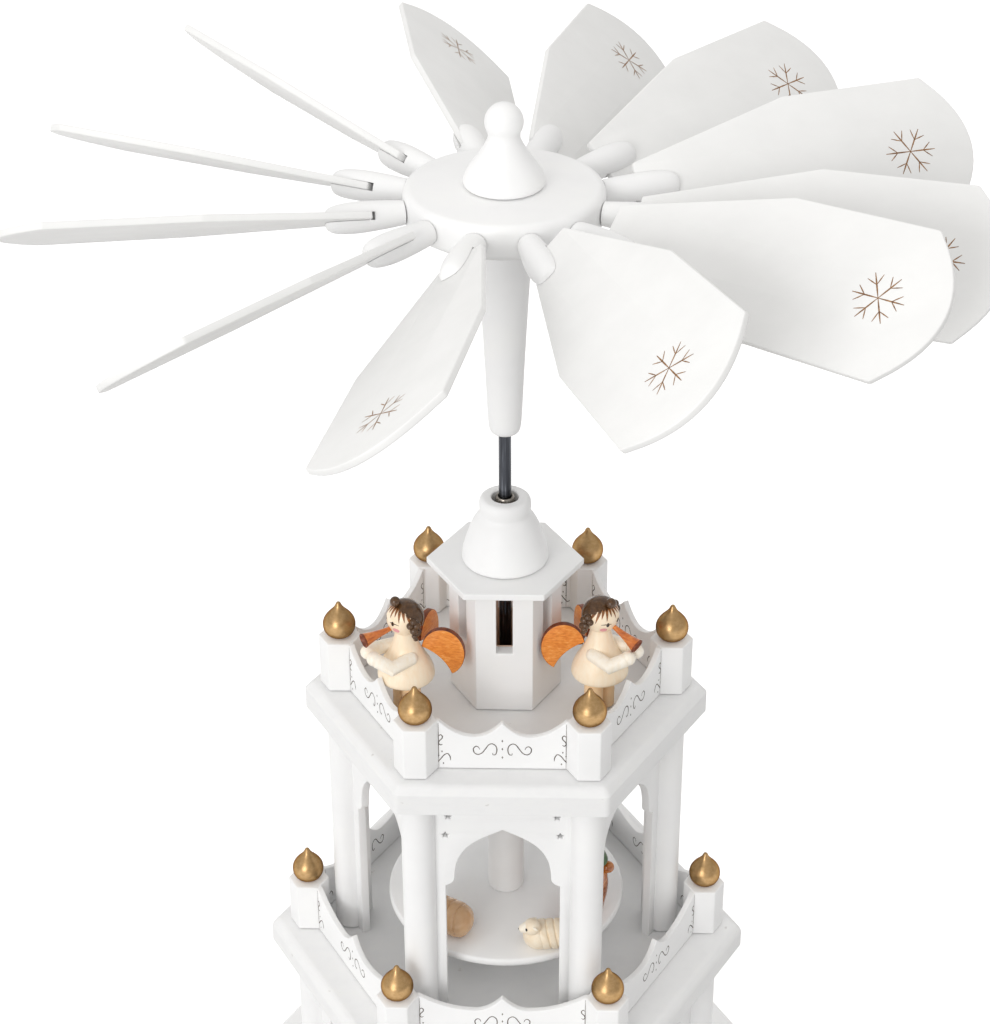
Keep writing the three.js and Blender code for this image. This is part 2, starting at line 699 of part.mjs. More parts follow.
// Blade along +X: widens from the slot to a kink, then runs on to a rounded end
function blade() {
  const kink = bladeRoot + BLADE_KINK_FROM_ROOT;
  const tip = bladeRoot + BLADE_TIP_FROM_ROOT;
  const corner = tip - BLADE_CORNER;
  const past = tip + BLADE_CORNER / 3;
  const inside = BLADE_TIP_HALF - BLADE_CORNER / 2;
  const bulge = 2 * (bladeRoot + BLADE_LENGTH) - past;
  const shape = new THREE.Shape();
  shape.moveTo(bladeRoot, -BLADE_ROOT_HALF);
  shape.lineTo(kink, -BLADE_KINK_HALF);
  shape.lineTo(corner, -BLADE_TIP_HALF);
  shape.lineTo(past, -inside);
  shape.quadraticCurveTo(bulge, 0, past, inside);
  shape.lineTo(corner, BLADE_TIP_HALF);
  shape.lineTo(kink, BLADE_KINK_HALF);
  shape.lineTo(bladeRoot, BLADE_ROOT_HALF);
  const options = { depth: BLADE_THICKNESS, bevelEnabled: false, curveSegments: 8 };
  return new THREE.ExtrudeGeometry(shape, options).translate(0, 0, -BLADE_THICKNESS / 2);
}

function addBlades() {
  const bladeForm = blade();
  for (let i = 0; i < BLADE_COUNT; i++) {
    const { pitchDeg, leanDeg, skewDeg } = BLADE_SEATS[i];
    const arm = new THREE.Group();
    const peg = new THREE.Group();
    const slot = new THREE.Group();
    const number = String(i + 1).padStart(2, "0");
    arm.position.z = holderLevel;
    arm.rotation.z = radians(bladeDeg(i));
    arm.add(peg);
    peg.rotation.x = radians(pitchDeg);
    addMesh(peg, `blade_holder_${number}`, bladeHolder(leanDeg), white);
    peg.add(slot);
    slot.position.x = slotMiddle;
    slot.rotation.y = radians(-leanDeg);
    const mesh = addMesh(slot, `blade_${number}`, bladeForm, white);
    mesh.position.x = -slotMiddle;
    mesh.rotation.z = radians(skewDeg);
    pyramid.add(arm);
  }
}

// Angel facing +X: a bell-shaped dress on stout legs, a ball head, crescent wings and a trumpet
function angelWing(side) {
  const disc = rod(1, 0, WING_THICKNESS, ROUND - 2).scale(WING_HALF_WIDTH, WING_HALF_HEIGHT, 1);
  const bite = rod(WING_BITE_RADIUS, -1, WING_THICKNESS + 1, ROUND + 2).translate(...WING_BITE_AT, 0);
  return cut(disc, [bite])
    .rotateX(Math.PI / 2)
    .translate(wingCentre, WING_THICKNESS / 2, WING_LEVEL)
    .rotateZ(Math.PI - side * wingSpread)
    .translate(-wingRoot, side, 0);
}

function angelForm() {
  const neck = HEAD_LEVEL - 0.8 * HEAD_RADIUS;
  const dress = curve(
    [
      [DRESS_RADIUS, HEM_LEVEL + 2.8],
      [0.95 * DRESS_RADIUS, HEM_LEVEL + 6.5],
      [0.52 * DRESS_RADIUS, neck - 6],
      [0.33 * DRESS_RADIUS, neck],
    ],
    4,
  );
  const hem = [[0, HEM_LEVEL], [0.8 * DRESS_RADIUS, HEM_LEVEL], [0.97 * DRESS_RADIUS, HEM_LEVEL + 1.2]];
  const body = turned([...hem, ...dress, [0, neck]], SMALL);
  const head = ball(HEAD_RADIUS, [0, 0, HEAD_LEVEL]);
  const bun = ball(BUN_RADIUS, [0.55 * HEAD_RADIUS, 0, HEAD_LEVEL + 1.05 * HEAD_RADIUS], TINY);
  const tube = [
    [0, 0],
    [TRUMPET_TUBE_RADIUS, 0],
    [1.5 * TRUMPET_TUBE_RADIUS, 0.6 * TRUMPET_LENGTH],
    [TRUMPET_BELL_RADIUS, TRUMPET_LENGTH],
    [0, TRUMPET_LENGTH],
  ];
  const trumpet = turned(tube, TINY)
    .rotateY(Math.PI / 2 + radians(TRUMPET_TILT_DEG))
    .translate(0.76 * HEAD_RADIUS, 0, HEAD_LEVEL - 0.47 * HEAD_RADIUS);
  const sides = [-1, 1].flatMap((side) => [
    rod(LEG_RADIUS, 0, HEM_LEVEL + 1, TINY).translate(0, 1.05 * LEG_RADIUS * side, 0),
    limb([SHOULDER, ELBOW, HAND].map(([x, y, z]) => [x, y * side, z]), ARM_RADIUS),
    ball(HAND_RADIUS, [HAND[0], HAND[1] * side, HAND[2]], TINY),
    angelWing(side),
  ]);
  return toGeometry(joined([body, head, bun, trumpet, ...sides]));
}

// Lying sheep facing +X: a turned fleece cut flat below, with a ball head and a snout
function sheepForm(length) {
  const half = length / 2;
  const fleeceRadius = 0.3 * length;
  const end = curve(
    [
      [0, half],
      [0.7 * fleeceRadius, half],
      [fleeceRadius, 0.75 * half],
      [fleeceRadius, 0.4 * half],
    ],
    3,
  );
  const profile = [...end.map(([radius, height]) => [radius, -height]), ...end.reverse()];
  const body = turned(profile, SMALL).rotateY(Math.PI / 2).translate(0, 0, 0.92 * fleeceRadius);
  const below = box(2 * length, length, length).translate(0, 0, -half);
  const head = ball(0.18 * length, [0.64 * half, 0, 0.53 * length]);
  const snout = ball(0.1 * length, [1.06 * half, 0, 0.5 * length], TINY);
  return cut(toGeometry(joined([body, head, snout])), [below]);
}

// Shepherd facing +X: robe, head, brimmed hat and a staff at the right hand
function shepherdForm() {
  const brim = 0.95 * SHEPHERD_HEIGHT;
  const hat = turned(
    [
      [0, brim],
      [HAT_RADIUS, brim],
      [HAT_RADIUS, brim + 0.25 * HAT_HEIGHT],
      [0.6 * HAT_RADIUS, brim + 0.3 * HAT_HEIGHT],
      [0.5 * HAT_RADIUS, brim + 0.9 * HAT_HEIGHT],
      [0, brim + HAT_HEIGHT],
    ],
    SMALL,
  );
  const [staffX, staffY] = STAFF_AT;
  const shoulder = [0, 0.4 * staffY, 0.69 * SHEPHERD_HEIGHT];
  const elbow = [0.4 * staffX, 0.75 * staffY, 0.6 * SHEPHERD_HEIGHT];
  const arm = limb([shoulder, elbow, [staffX, staffY, 0.57 * SHEPHERD_HEIGHT]], SHEPHERD_ARM_RADIUS);
  const staff = rod(STAFF_RADIUS, 0, STAFF_HEIGHT, TINY).translate(staffX, staffY, 0);
  const robed = robedFigure(SHEPHERD_HEIGHT, SHEPHERD_RADIUS, SMALL);
  return toGeometry(joined([robed, hat, arm, staff]));
}

// Stand
addMesh(pyramid, "base_plate", baseBoard(), white);
addMesh(pyramid, "foot_bearing", footBearing(), brass);
addMesh(pyramid, "lower_arcade", arcade(lowerColumnCircle, BASE_THICKNESS, LOWER_STOREY_HEIGHT), white);
addMesh(pyramid, "middle_floor", floorBoard(middleFloorRadius, middleFloorBottom), white);
addMesh(pyramid, "middle_balustrade", balustrade(lowerColumnCircle, middleFloorTop), white);
addFinials("middle_finial", lowerColumnCircle, middleFloorTop);
const starred = arcade(UPPER_COLUMN_CIRCLE, middleFloorTop, UPPER_STOREY_HEIGHT, STAR_PLACES);
addMesh(pyramid, "upper_arcade", starred, white);
addMesh(pyramid, "top_floor", floorBoard(topFloorRadius, topFloorBottom), white);
addMesh(pyramid, "top_balustrade", balustrade(UPPER_COLUMN_CIRCLE, topFloorTop), white);
addFinials("top_finial", UPPER_COLUMN_CIRCLE, topFloorTop);
addMesh(pyramid, "lantern_house", lanternHouse(), white);
addMesh(pyramid, "roof_plate", roofBoard(), white);
addMesh(pyramid, "roof_dome", roofDome(), white);
addMesh(pyramid, "roof_bush", roofBush(), brass);
const angel = angelForm();
ANGEL_PLACES.forEach(({ deg, faceDeg, forward }, i) => {
  const circle = Math.max(galleryMiddle + forward, nearestAngel);
  place(addMesh(pyramid, `angel_${i + 1}`, angel, beech), circle, topFloorTop + SEAT_GAP, deg, faceDeg);
});

// Everything that turns with the shaft
addMesh(pyramid, "shaft", shaftForm(), steel);
addMesh(pyramid, "lower_turntable", nativityTurntable(), white);
addMesh(pyramid, "upper_turntable", turntable(upperTurntableRadius, middleFloorTop), white);
const figureLevel = middleFloorTop + TURNTABLE_LIFT + SEAT_GAP;

function stand(figure, { fromRim, deg, faceDeg }) {
  place(figure, upperTurntableRadius - fromRim, figureLevel, deg, faceDeg);
}

SHEEP_PLACES.forEach((spot, i) => {
  stand(addMesh(pyramid, `sheep_${i + 1}`, sheepForm(spot.length), fleece), spot);
});
stand(addMesh(pyramid, "shepherd", shepherdForm(), cloth), SHEPHERD_PLACE);
addMesh(pyramid, "rotor_sleeve", rotorSleeve(), white);
addMesh(pyramid, "rotor_hub", rotorHub(), white);
addMesh(pyramid, "rotor_cap", rotorCap(), white);
addBlades();

export default pyramid;
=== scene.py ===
import json
from math import acos, asin, atan2, cos, degrees, pi, radians, sin, sqrt, tan

import bmesh
import bpy
from mathutils import Matrix, Vector

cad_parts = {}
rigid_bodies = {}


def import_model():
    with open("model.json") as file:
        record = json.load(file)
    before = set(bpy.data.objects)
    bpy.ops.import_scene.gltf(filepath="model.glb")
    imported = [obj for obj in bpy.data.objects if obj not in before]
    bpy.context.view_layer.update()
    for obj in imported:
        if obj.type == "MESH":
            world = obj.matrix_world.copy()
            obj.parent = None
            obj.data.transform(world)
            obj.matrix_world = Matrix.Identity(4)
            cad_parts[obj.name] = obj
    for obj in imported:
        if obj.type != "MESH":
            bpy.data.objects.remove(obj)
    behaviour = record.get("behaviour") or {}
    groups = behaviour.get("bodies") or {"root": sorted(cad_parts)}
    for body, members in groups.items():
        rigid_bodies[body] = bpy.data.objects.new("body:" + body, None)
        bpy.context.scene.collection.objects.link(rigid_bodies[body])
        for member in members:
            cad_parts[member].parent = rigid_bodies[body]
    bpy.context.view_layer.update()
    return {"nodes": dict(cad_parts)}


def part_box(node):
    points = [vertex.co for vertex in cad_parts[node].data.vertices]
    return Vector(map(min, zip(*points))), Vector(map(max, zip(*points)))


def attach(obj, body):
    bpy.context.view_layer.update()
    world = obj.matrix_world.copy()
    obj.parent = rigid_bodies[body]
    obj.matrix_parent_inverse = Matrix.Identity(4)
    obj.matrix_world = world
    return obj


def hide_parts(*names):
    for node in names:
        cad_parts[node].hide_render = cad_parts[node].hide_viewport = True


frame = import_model()

# Sizes in millimetres, as in the frame
MM = 0.001
SIDES = 6
SIDE_STEP = 360 / SIDES
BASE_BEVEL = 2.5
RECESS_CIRCLE = 96.0
RECESS_RADIUS = 20.0
RECESS_FLOOR = 6.0
BEARING_SEAT_RADIUS = 6.3
BEARING_SEAT_FLOOR = 4.5
LOWER_CIRCLE = 68.0
UPPER_CIRCLE = 53.6
COLUMN_RADIUS = 5.3
PANEL_THICKNESS = 3.0
ARCH_LEG = 8.5
ARCH_CUSP_STEP = 2.9
ARCH_APEX_DROP = 13.8
ARCH_CUSP_DROP = 36.6
STAR_RADIUS = 1.8
STAR_PLACES = [(9.6, 8.7), (8.6, 16.1)]
POST_RADIUS = 7.0
POST_HEIGHT = 18.2
RAIL_THICKNESS = 2.0
RAIL_DIP_HEIGHT = 11.9
RAIL_PEAK_HEIGHT = 17.1
RAIL_DIP_AT = 8.6
LANTERN_RADIUS = 18.0
LANTERN_WALL = 4.5
WINDOW_WIDTH = 5.3
WINDOW_HEIGHT = 23.8
SHAFT_RADIUS = 2.0
UPPER_TABLE_RADIUS = 40.5
LOWER_TABLE_RADIUS = 53.0
TABLE_THICKNESS = 3.0
SPINDLE_RADIUS = 6.1
SPINDLE_TOP = 43.0
LOWER_FIGURE_CIRCLE = 36.0
HUB_RADIUS = 29.6
HUB_SOFTNESS = 2.5
CAP_BALL = 5.7
CAP_BALL_LEVEL = 19.3
CAP_NECK = 4.8
HOLDER_ROOT = 29.9
HOLDER_END = 52.9
HOLDER_RADIUS = 4.6
SLOT_START = 38.9
SLOT_MIDDLE = 45.9
BLADE_THICKNESS = 2.2
BLADE_ROOT = 40.1
BLADE_ROOT_HALF = 7.0
BLADE_KINK = 90.0
BLADE_KINK_HALF = 22.0
BLADE_WIDEST = 133.8
BLADE_HALF = 23.0
BLADE_END = 135.6
BLADE_END_HALF = 20.6
BLADE_TIP = 146.0
FLAKE_CENTRE = 126.0
FLAKE_ARM = 7.8
FLAKE_TWIG = 3.4
# Pitch of the holder, lean of its saw slot and skew in the slot, for each blade
BLADE_SEATS = [
    (44, -2, 6.5), (40, -4, 8), (48, 0, -1), (47, 0, 1), (40, 0, 0.5), (42, 1, -3),
    (38, 5.5, -5.5), (42, 5, 0), (29.5, 3.5, -3), (30, 3, 0), (37, -3, 1), (37, -4, 1),
]
FIRST_BLADE = -75
BLADE_STEP = 360 / len(BLADE_SEATS)
# Circle, place, facing, dip of the trumpet, turn and bow of the head
ANGEL_PLACES = [(35.2, -152.5, -150, 9, 0, 0), (33.2, -24, -35, 24, -11, 10), (32.53, 90, 90, 14, 0, 0)]
# Height of an engraved line over its face
LIFT = 0.03


# Forms are pairs of points and faces in millimetres
def lathe(profile, segments):
    points, rings, faces = [], [], []
    for radius, height in profile:
        count = segments if radius > 1e-6 else 1
        rings.append([len(points) + i for i in range(count)])
        for i in range(count):
            angle = 2 * pi * i / segments
            points.append((radius * cos(angle), radius * sin(angle), height))
    for low, high in zip(rings, rings[1:]):
        for i in range(segments):
            j = (i + 1) % segments
            corners = [low[i % len(low)], low[j % len(low)], high[j % len(high)], high[i % len(high)]]
            face = list(dict.fromkeys(corners))
            if len(face) > 2:
                faces.append(face)
    return points, faces


def cylinder(radius, bottom, top, segments):
    return lathe([(0, bottom), (radius, bottom), (radius, top), (0, top)], segments)


def tube(path, radii, segments=12):
    spine = [Vector(point) for point in path]
    tangents = []
    for i in range(len(spine)):
        ahead = spine[min(i + 1, len(spine) - 1)] - spine[max(i - 1, 0)]
        tangents.append(ahead.normalized())
    side = tangents[0].orthogonal().normalized()
    points, faces = [], []
    for centre, tangent, radius in zip(spine, tangents, radii):
        side = (side - tangent * side.dot(tangent)).normalized()
        other = tangent.cross(side)
        for k in range(segments):
            angle = 2 * pi * k / segments
            points.append(centre + (side * cos(angle) + other * sin(angle)) * radius)
    for ring in range(len(spine) - 1):
        for k in range(segments):
            a = ring * segments + k
            b = ring * segments + (k + 1) % segments
            faces.append([a, b, b + segments, a + segments])
    faces.append(list(range(segments))[::-1])
    faces.append([len(points) - segments + k for k in range(segments)])
    return points, faces


def mitred(start, corner, end, radius, segments=28):
    """Two round rods that meet in a mitre at the corner"""
    a, b, c = Vector(start), Vector(corner), Vector(end)
    first = (b - a).normalized()
    second = (c - b).normalized()
    plane = (first + second).normalized()
    side = first.orthogonal().normalized()
    other = first.cross(side)
    rings = [[], [], []]
    for k in range(segments):
        angle = 2 * pi * k / segments
        p = a + (side * cos(angle) + other * sin(angle)) * radius
        q = p + first * ((b - p).dot(plane) / first.dot(plane))
        r = q + second * (c - q).dot(second)
        for ring, point in zip(rings, (p, q, r)):
            ring.append(point)
    faces = [list(range(segments))[::-1], [2 * segments + k for k in range(segments)]]
    for row in (0, segments):
        for k in range(segments):
            j = (k + 1) % segments
            faces.append([row + k, row + j, row + segments + j, row + segments + k])
    return [*rings[0], *rings[1], *rings[2]], faces


def parted(form):
    """The flat faces of a plate and its rim"""
    points, faces = form
    flat, rim = [], []
    for face in faces:
        a, b, c = (Vector(points[i]) for i in face[:3])
        normal = (b - a).cross(c - a).normalized()
        (flat if abs(normal.z) > 0.95 else rim).append(face)
    return (points, flat), (points, rim)


def ball(radius, centre, segments):
    rings = segments // 2
    profile = [(radius * sin(pi * i / rings), -radius * cos(pi * i / rings)) for i in range(rings + 1)]
    profile[0] = (0, -radius)
    profile[-1] = (0, radius)
    points, faces = lathe(profile, segments)
    middle = Vector(centre)
    return [middle + Vector(p) for p in points], faces


def plate(loops, thickness, bevel):
    curve = bpy.data.curves.new("plate", "CURVE")
    curve.dimensions = "2D"
    curve.fill_mode = "BOTH"
    curve.extrude = thickness / 2 - bevel
    curve.bevel_depth = bevel
    curve.bevel_resolution = 2
    for loop in loops:
        spline = curve.splines.new("POLY")
        spline.points.add(len(loop) - 1)
        for point, (x, y) in zip(spline.points, loop):
            point.co = (x, y, 0, 1)
        spline.use_cyclic_u = True
    holder = bpy.data.objects.new("plate", curve)
    form = form_of(bpy.data.meshes.new_from_object(holder))
    bpy.data.objects.remove(holder)
    bpy.data.curves.remove(curve)
    return form


def form_of(mesh):
    form = [v.co.copy() for v in mesh.vertices], [list(p.vertices) for p in mesh.polygons]
    bpy.data.meshes.remove(mesh)
    return form


def mesh_of(form):
    mesh = bpy.data.meshes.new("form")
    mesh.from_pydata([tuple(p) for p in form[0]], [], form[1])
    mesh.validate()
    return mesh


def softened(form, offset, segments=3):
    work = bmesh.new()
    work.from_mesh(mesh_of(form))
    bmesh.ops.remove_doubles(work, verts=work.verts, dist=1e-4)
    bmesh.ops.recalc_face_normals(work, faces=work.faces)
    edges = [e for e in work.edges if e.is_manifold and e.calc_face_angle(0) > radians(25)]
    bmesh.ops.bevel(
        work, geom=edges, offset=offset, segments=segments, profile=0.5, affect="EDGES", clamp_overlap=True
    )
    mesh = bpy.data.meshes.new("form")
    work.to_mesh(mesh)
    work.free()
    return form_of(mesh)


def carved(form, cutters):
    scene = bpy.context.scene.collection.objects
    body = bpy.data.objects.new("body", mesh_of(form))
    scene.link(body)
    tools = []
    for cutter in cutters:
        tool = bpy.data.objects.new("tool", mesh_of(cutter))
        scene.link(tool)
        modifier = body.modifiers.new("cut", "BOOLEAN")
        modifier.operation = "DIFFERENCE"
        modifier.solver = "EXACT"
        modifier.object = tool
        tools.append(tool)
    graph = bpy.context.evaluated_depsgraph_get()
    result = form_of(bpy.data.meshes.new_from_object(body.evaluated_get(graph)))
    for thing in [body, *tools]:
        bpy.data.objects.remove(thing)
    return result


def moved(form, matrix):
    return [matrix @ Vector(p) for p in form[0]], form[1]


def block(width, depth, height):
    x, y, z = width / 2, depth / 2, height / 2
    points = [(i * x, j * y, k * z) for i in (-1, 1) for j in (-1, 1) for k in (-1, 1)]
    faces = [[0, 1, 3, 2], [4, 6, 7, 5], [0, 4, 5, 1], [2, 3, 7, 6], [0, 2, 6, 4], [1, 5, 7, 3]]
    return points, faces


def bezier(a, b, c, d, steps):
    out = []
    for i in range(steps + 1):
        t = i / steps
        s = 1 - t
        weights = (s**3, 3 * s * s * t, 3 * s * t * t, t**3)
        out.append(tuple(sum(w * p[k] for w, p in zip(weights, (a, b, c, d))) for k in range(len(a))))
    return out


def quadratic(a, b, c, steps):
    """A curve from a to c, drawn towards b"""
    a, b, c = Vector(a), Vector(b), Vector(c)
    out = []
    for i in range(steps + 1):
        t = i / steps
        out.append(tuple(a * (1 - t) ** 2 + b * 2 * t * (1 - t) + c * t * t))
    return out


def quarter(radius, x, z, start):
    """A quarter circle about (x, z), counter-clockwise from an angle in degrees"""
    out = []
    for step in range(0, 91, 15):
        angle = radians(start + step)
        out.append((x + radius * cos(angle), z + radius * sin(angle)))
    return out


def smooth(points, steps):
    """A curve through the points"""
    ends = [points[0], *points, points[-1]]
    out = []
    for i in range(len(points) - 1):
        p, q, r, s = ends[i : i + 4]
        for k in range(steps):
            t = k / steps
            value = []
            for a, b, c, d in zip(p, q, r, s):
                slope = (c - a) * t
                bend = (2 * a - 5 * b + 4 * c - d) * t * t
                twist = (3 * b - a - 3 * c + d) * t**3
                value.append(0.5 * (2 * b + slope + bend + twist))
            out.append(tuple(value))
    out.append(tuple(points[-1]))
    return out


def rounded(corners, radii, steps=6):
    """A closed outline with a fillet at each corner"""
    out = []
    count = len(corners)
    for i, radius in enumerate(radii):
        here = Vector(corners[i])
        before = (Vector(corners[i - 1]) - here).normalized()
        after = (Vector(corners[(i + 1) % count]) - here).normalized()
        if radius == 0:
            out.append(tuple(here))
            continue
        half = acos(max(-1, min(1, before.dot(after)))) / 2
        reach = radius / tan(half)
        out += quadratic(here + before * reach, here, here + after * reach, steps)
    return out


def ribbon(path, width):
    """A flat line in the XY plane, tapered at both ends"""
    spine = [Vector(p) for p in path]
    points, faces = [], []
    last = len(spine) - 1
    for i, point in enumerate(spine):
        along = (spine[min(i + 1, last)] - spine[max(i - 1, 0)]).normalized()
        fine = min(1.0, 0.45 + 4 * min(i, last - i) / last)
        offset = Vector((-along.y, along.x)) * width / 2 * fine
        for side in (1, -1):
            points.append((point.x + offset.x * side, point.y + offset.y * side, 0))
    for i in range(last):
        faces.append([2 * i + 1, 2 * i + 3, 2 * i + 2, 2 * i])
    return points, faces


def diamond(x, y, width, length):
    points = [(x - width / 2, y, 0), (x, y - length / 2, 0), (x + width / 2, y, 0), (x, y + length / 2, 0)]
    return points, [[0, 1, 2, 3]]


def heading(azimuth, elevation):
    """A unit vector at an azimuth from +X and an elevation"""
    a, e = radians(azimuth), radians(elevation)
    return Vector((cos(e) * cos(a), cos(e) * sin(a), sin(e)))


def on_ball(centre, radius, azimuth, elevation, wide, tall, steps=14, lift=0.04):
    """A small round patch on a ball"""
    out = heading(azimuth, elevation)
    across = heading(azimuth + 90, 0)
    up = out.cross(across)
    points = [Vector(centre) + out * (radius + lift)]
    for ring in (0.5, 1.0):
        for k in range(steps):
            angle = 2 * pi * k / steps
            reach = out * radius + across * wide * ring * cos(angle) + up * tall * ring * sin(angle)
            points.append(Vector(centre) + reach.normalized() * (radius + lift))
    faces = [[0, 1 + k, 1 + (k + 1) % steps] for k in range(steps)]
    for k in range(steps):
        j = (k + 1) % steps
        faces.append([1 + k, 1 + steps + k, 1 + steps + j, 1 + j])
    return points, faces


def stroke_on_ball(centre, radius, path, widths, lift):
    """A painted stroke on a ball through azimuth and elevation pairs"""
    outs = [heading(azimuth, elevation) for azimuth, elevation in path]
    points, faces = [], []
    last = len(outs) - 1
    for i, (out, width) in enumerate(zip(outs, widths)):
        along = outs[min(i + 1, last)] - outs[max(i - 1, 0)]
        side = out.cross(along).normalized()
        for k in (-1, 0, 1):
            spot = (out * radius + side * width / 2 * k).normalized()
            points.append(Vector(centre) + spot * (radius + lift))
    for i in range(last):
        for k in (0, 1):
            faces.append([3 * i + k, 3 * i + k + 1, 3 * i + k + 4, 3 * i + k + 3])
    return points, faces


def turn(degree):
    return Matrix.Rotation(radians(degree), 4, "Z")


def shift(x, y, z):
    return Matrix.Translation((x, y, z))


def stand_at(circle, degree, level, face):
    """A place on a circle about the axis, at a level, facing a direction"""
    angle = radians(degree)
    return shift(circle * cos(angle), circle * sin(angle), level) @ turn(face)


UPRIGHT = Matrix.Rotation(radians(90), 4, "X")


class Piece:
    """One mesh that grows form by form, with a material for each form"""

    def __init__(self, name):
        self.name = name
        self.mesh = bmesh.new()
        self.materials = []

    def add(self, form, material, matrix=Matrix()):
        if material not in self.materials:
            self.materials.append(material)
        index = self.materials.index(material)
        verts = [self.mesh.verts.new(matrix @ Vector(p)) for p in form[0]]
        for face in form[1]:
            self.mesh.faces.new([verts[i] for i in face]).material_index = index

    def build(self, body, slot, *nodes, sharp=38):
        loose = [v for v in self.mesh.verts if not v.link_faces]
        bmesh.ops.delete(self.mesh, geom=loose, context="VERTS")
        bmesh.ops.remove_doubles(self.mesh, verts=self.mesh.verts, dist=1e-4)
        bmesh.ops.recalc_face_normals(self.mesh, faces=self.mesh.faces)
        bmesh.ops.scale(self.mesh, vec=(MM, MM, MM), verts=self.mesh.verts)
        data = bpy.data.meshes.new(self.name)
        self.mesh.to_mesh(data)
        self.mesh.free()
        for material in self.materials:
            data.materials.append(material)
        data.shade_smooth()
        data.set_sharp_from_angle(angle=radians(sharp))
        thing = bpy.data.objects.new(self.name, data)
        bpy.context.scene.collection.objects.link(thing)
        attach(thing, body)
        if nodes:
            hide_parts(*nodes)


# Materials
def linear(red, green, blue):
    out = []
    for value in (red, green, blue):
        v = value / 255
        out.append(v / 12.92 if v <= 0.04045 else ((v + 0.055) / 1.055) ** 2.4)
    return (*out, 1.0)


def noise(tree, size, stretch, detail, roughness=0.55):
    """Noise whose features are about size millimetres across, drawn out along an axis by a small stretch"""
    place = tree.nodes.new("ShaderNodeTexCoord")
    mapping = tree.nodes.new("ShaderNodeMapping")
    mapping.inputs["Scale"].default_value = stretch
    node = tree.nodes.new("ShaderNodeTexNoise")
    node.inputs["Scale"].default_value = 1 / (size * MM)
    node.inputs["Detail"].default_value = detail
    node.inputs["Roughness"].default_value = roughness
    tree.links.new(place.outputs["Object"], mapping.inputs["Vector"])
    tree.links.new(mapping.outputs["Vector"], node.inputs["Vector"])
    return node.outputs["Fac"]


def ramp(tree, factor, stops):
    node = tree.nodes.new("ShaderNodeValToRGB")
    elements = node.color_ramp.elements
    while len(elements) < len(stops):
        elements.new(0.5)
    for element, (position, colour) in zip(elements, stops):
        element.position = position
        element.color = linear(*colour)
    tree.links.new(factor, node.inputs["Fac"])
    return node.outputs["Color"]


def spread(tree, factor, low, high):
    node = tree.nodes.new("ShaderNodeMapRange")
    node.inputs["From Min"].default_value = 0.3
    node.inputs["From Max"].default_value = 0.7
    node.inputs["To Min"].default_value = low
    node.inputs["To Max"].default_value = high
    tree.links.new(factor, node.inputs["Value"])
    return node.outputs["Result"]


def finish(name, stops, size, stretch=(1, 1, 1), roughness=(0.4, 0.5), bump=(1.0, 0.1), detail=3.0,
           metallic=0.0, coat=0.0, specular=0.5, edge=(255, 255, 255)):
    """Colour over a noise, uneven roughness, a fine bump (size, strength), a tint of glancing gloss"""
    material = bpy.data.materials.new(name)
    material.use_nodes = True
    tree = material.node_tree
    shader = tree.nodes["Principled BSDF"]
    shader.inputs["Metallic"].default_value = metallic
    shader.inputs["Coat Weight"].default_value = coat
    shader.inputs["Coat Roughness"].default_value = 0.12
    shader.inputs["Specular IOR Level"].default_value = specular
    shader.inputs["Specular Tint"].default_value = linear(*edge)
    grain = noise(tree, size, stretch, detail, 0.6)
    tree.links.new(ramp(tree, grain, stops), shader.inputs["Base Color"])
    patches = noise(tree, 3 * size, stretch, 2.0)
    tree.links.new(spread(tree, patches, *roughness), shader.inputs["Roughness"])
    bump_size, strength = bump
    relief = tree.nodes.new("ShaderNodeBump")
    relief.inputs["Strength"].default_value = strength
    relief.inputs["Distance"].default_value = 0.1 * MM
    tree.links.new(noise(tree, bump_size, stretch, 2.0), relief.inputs["Height"])
    tree.links.new(relief.outputs["Normal"], shader.inputs["Normal"])
    return material


white = finish(
    "white_paint", [(0.3, (241, 241, 241)), (0.5, (244, 244, 244)), (0.7, (246, 246, 245))], 22,
    roughness=(0.44, 0.54), bump=(0.7, 0.06), specular=0.4,
)
# Painted shade on the gallery boards: a darker copy of the white paint, toned down for the light on their
# tops and bevels; its darkest stop adds random darker flecks
board_white_painted_shade = finish(
    "board_paint_painted_shade",
    [(0.3, (235, 235, 235)), (0.5, (237, 237, 237)), (0.71, (238, 238, 237)), (0.75, (216, 214, 212))], 4,
    stretch=(0.7, 0.7, 1.4), roughness=(0.46, 0.58), bump=(0.9, 0.09), specular=0.4, detail=2.0,
)
# Painted shade on the blades: a slightly darker copy of the white paint, toned down for how light falls on
# their faces
blade_white_painted_shade = finish(
    "blade_paint_painted_shade", [(0.3, (238, 238, 237)), (0.5, (240, 240, 239)), (0.7, (242, 242, 241))], 12,
    stretch=(0.6, 1, 1), roughness=(0.42, 0.52), bump=(0.6, 0.07), specular=0.4,
)
lining = finish(
    "bare_lining", [(0.3, (228, 190, 164)), (0.5, (238, 204, 180)), (0.7, (246, 216, 194))], 1.2,
    stretch=(1, 1, 0.08), roughness=(0.6, 0.75), bump=(0.5, 0.3),
)
engraved = finish(
    "engraved_line", [(0.35, (70, 62, 58)), (0.55, (112, 104, 98)), (0.7, (140, 132, 126))], 1.2,
    roughness=(0.6, 0.8), bump=(0.3, 0.4),
)
bronze = finish(
    "bronze_line", [(0.35, (118, 82, 50)), (0.55, (154, 112, 72)), (0.7, (180, 140, 100))], 1.0,
    roughness=(0.45, 0.7), bump=(0.3, 0.4),
)
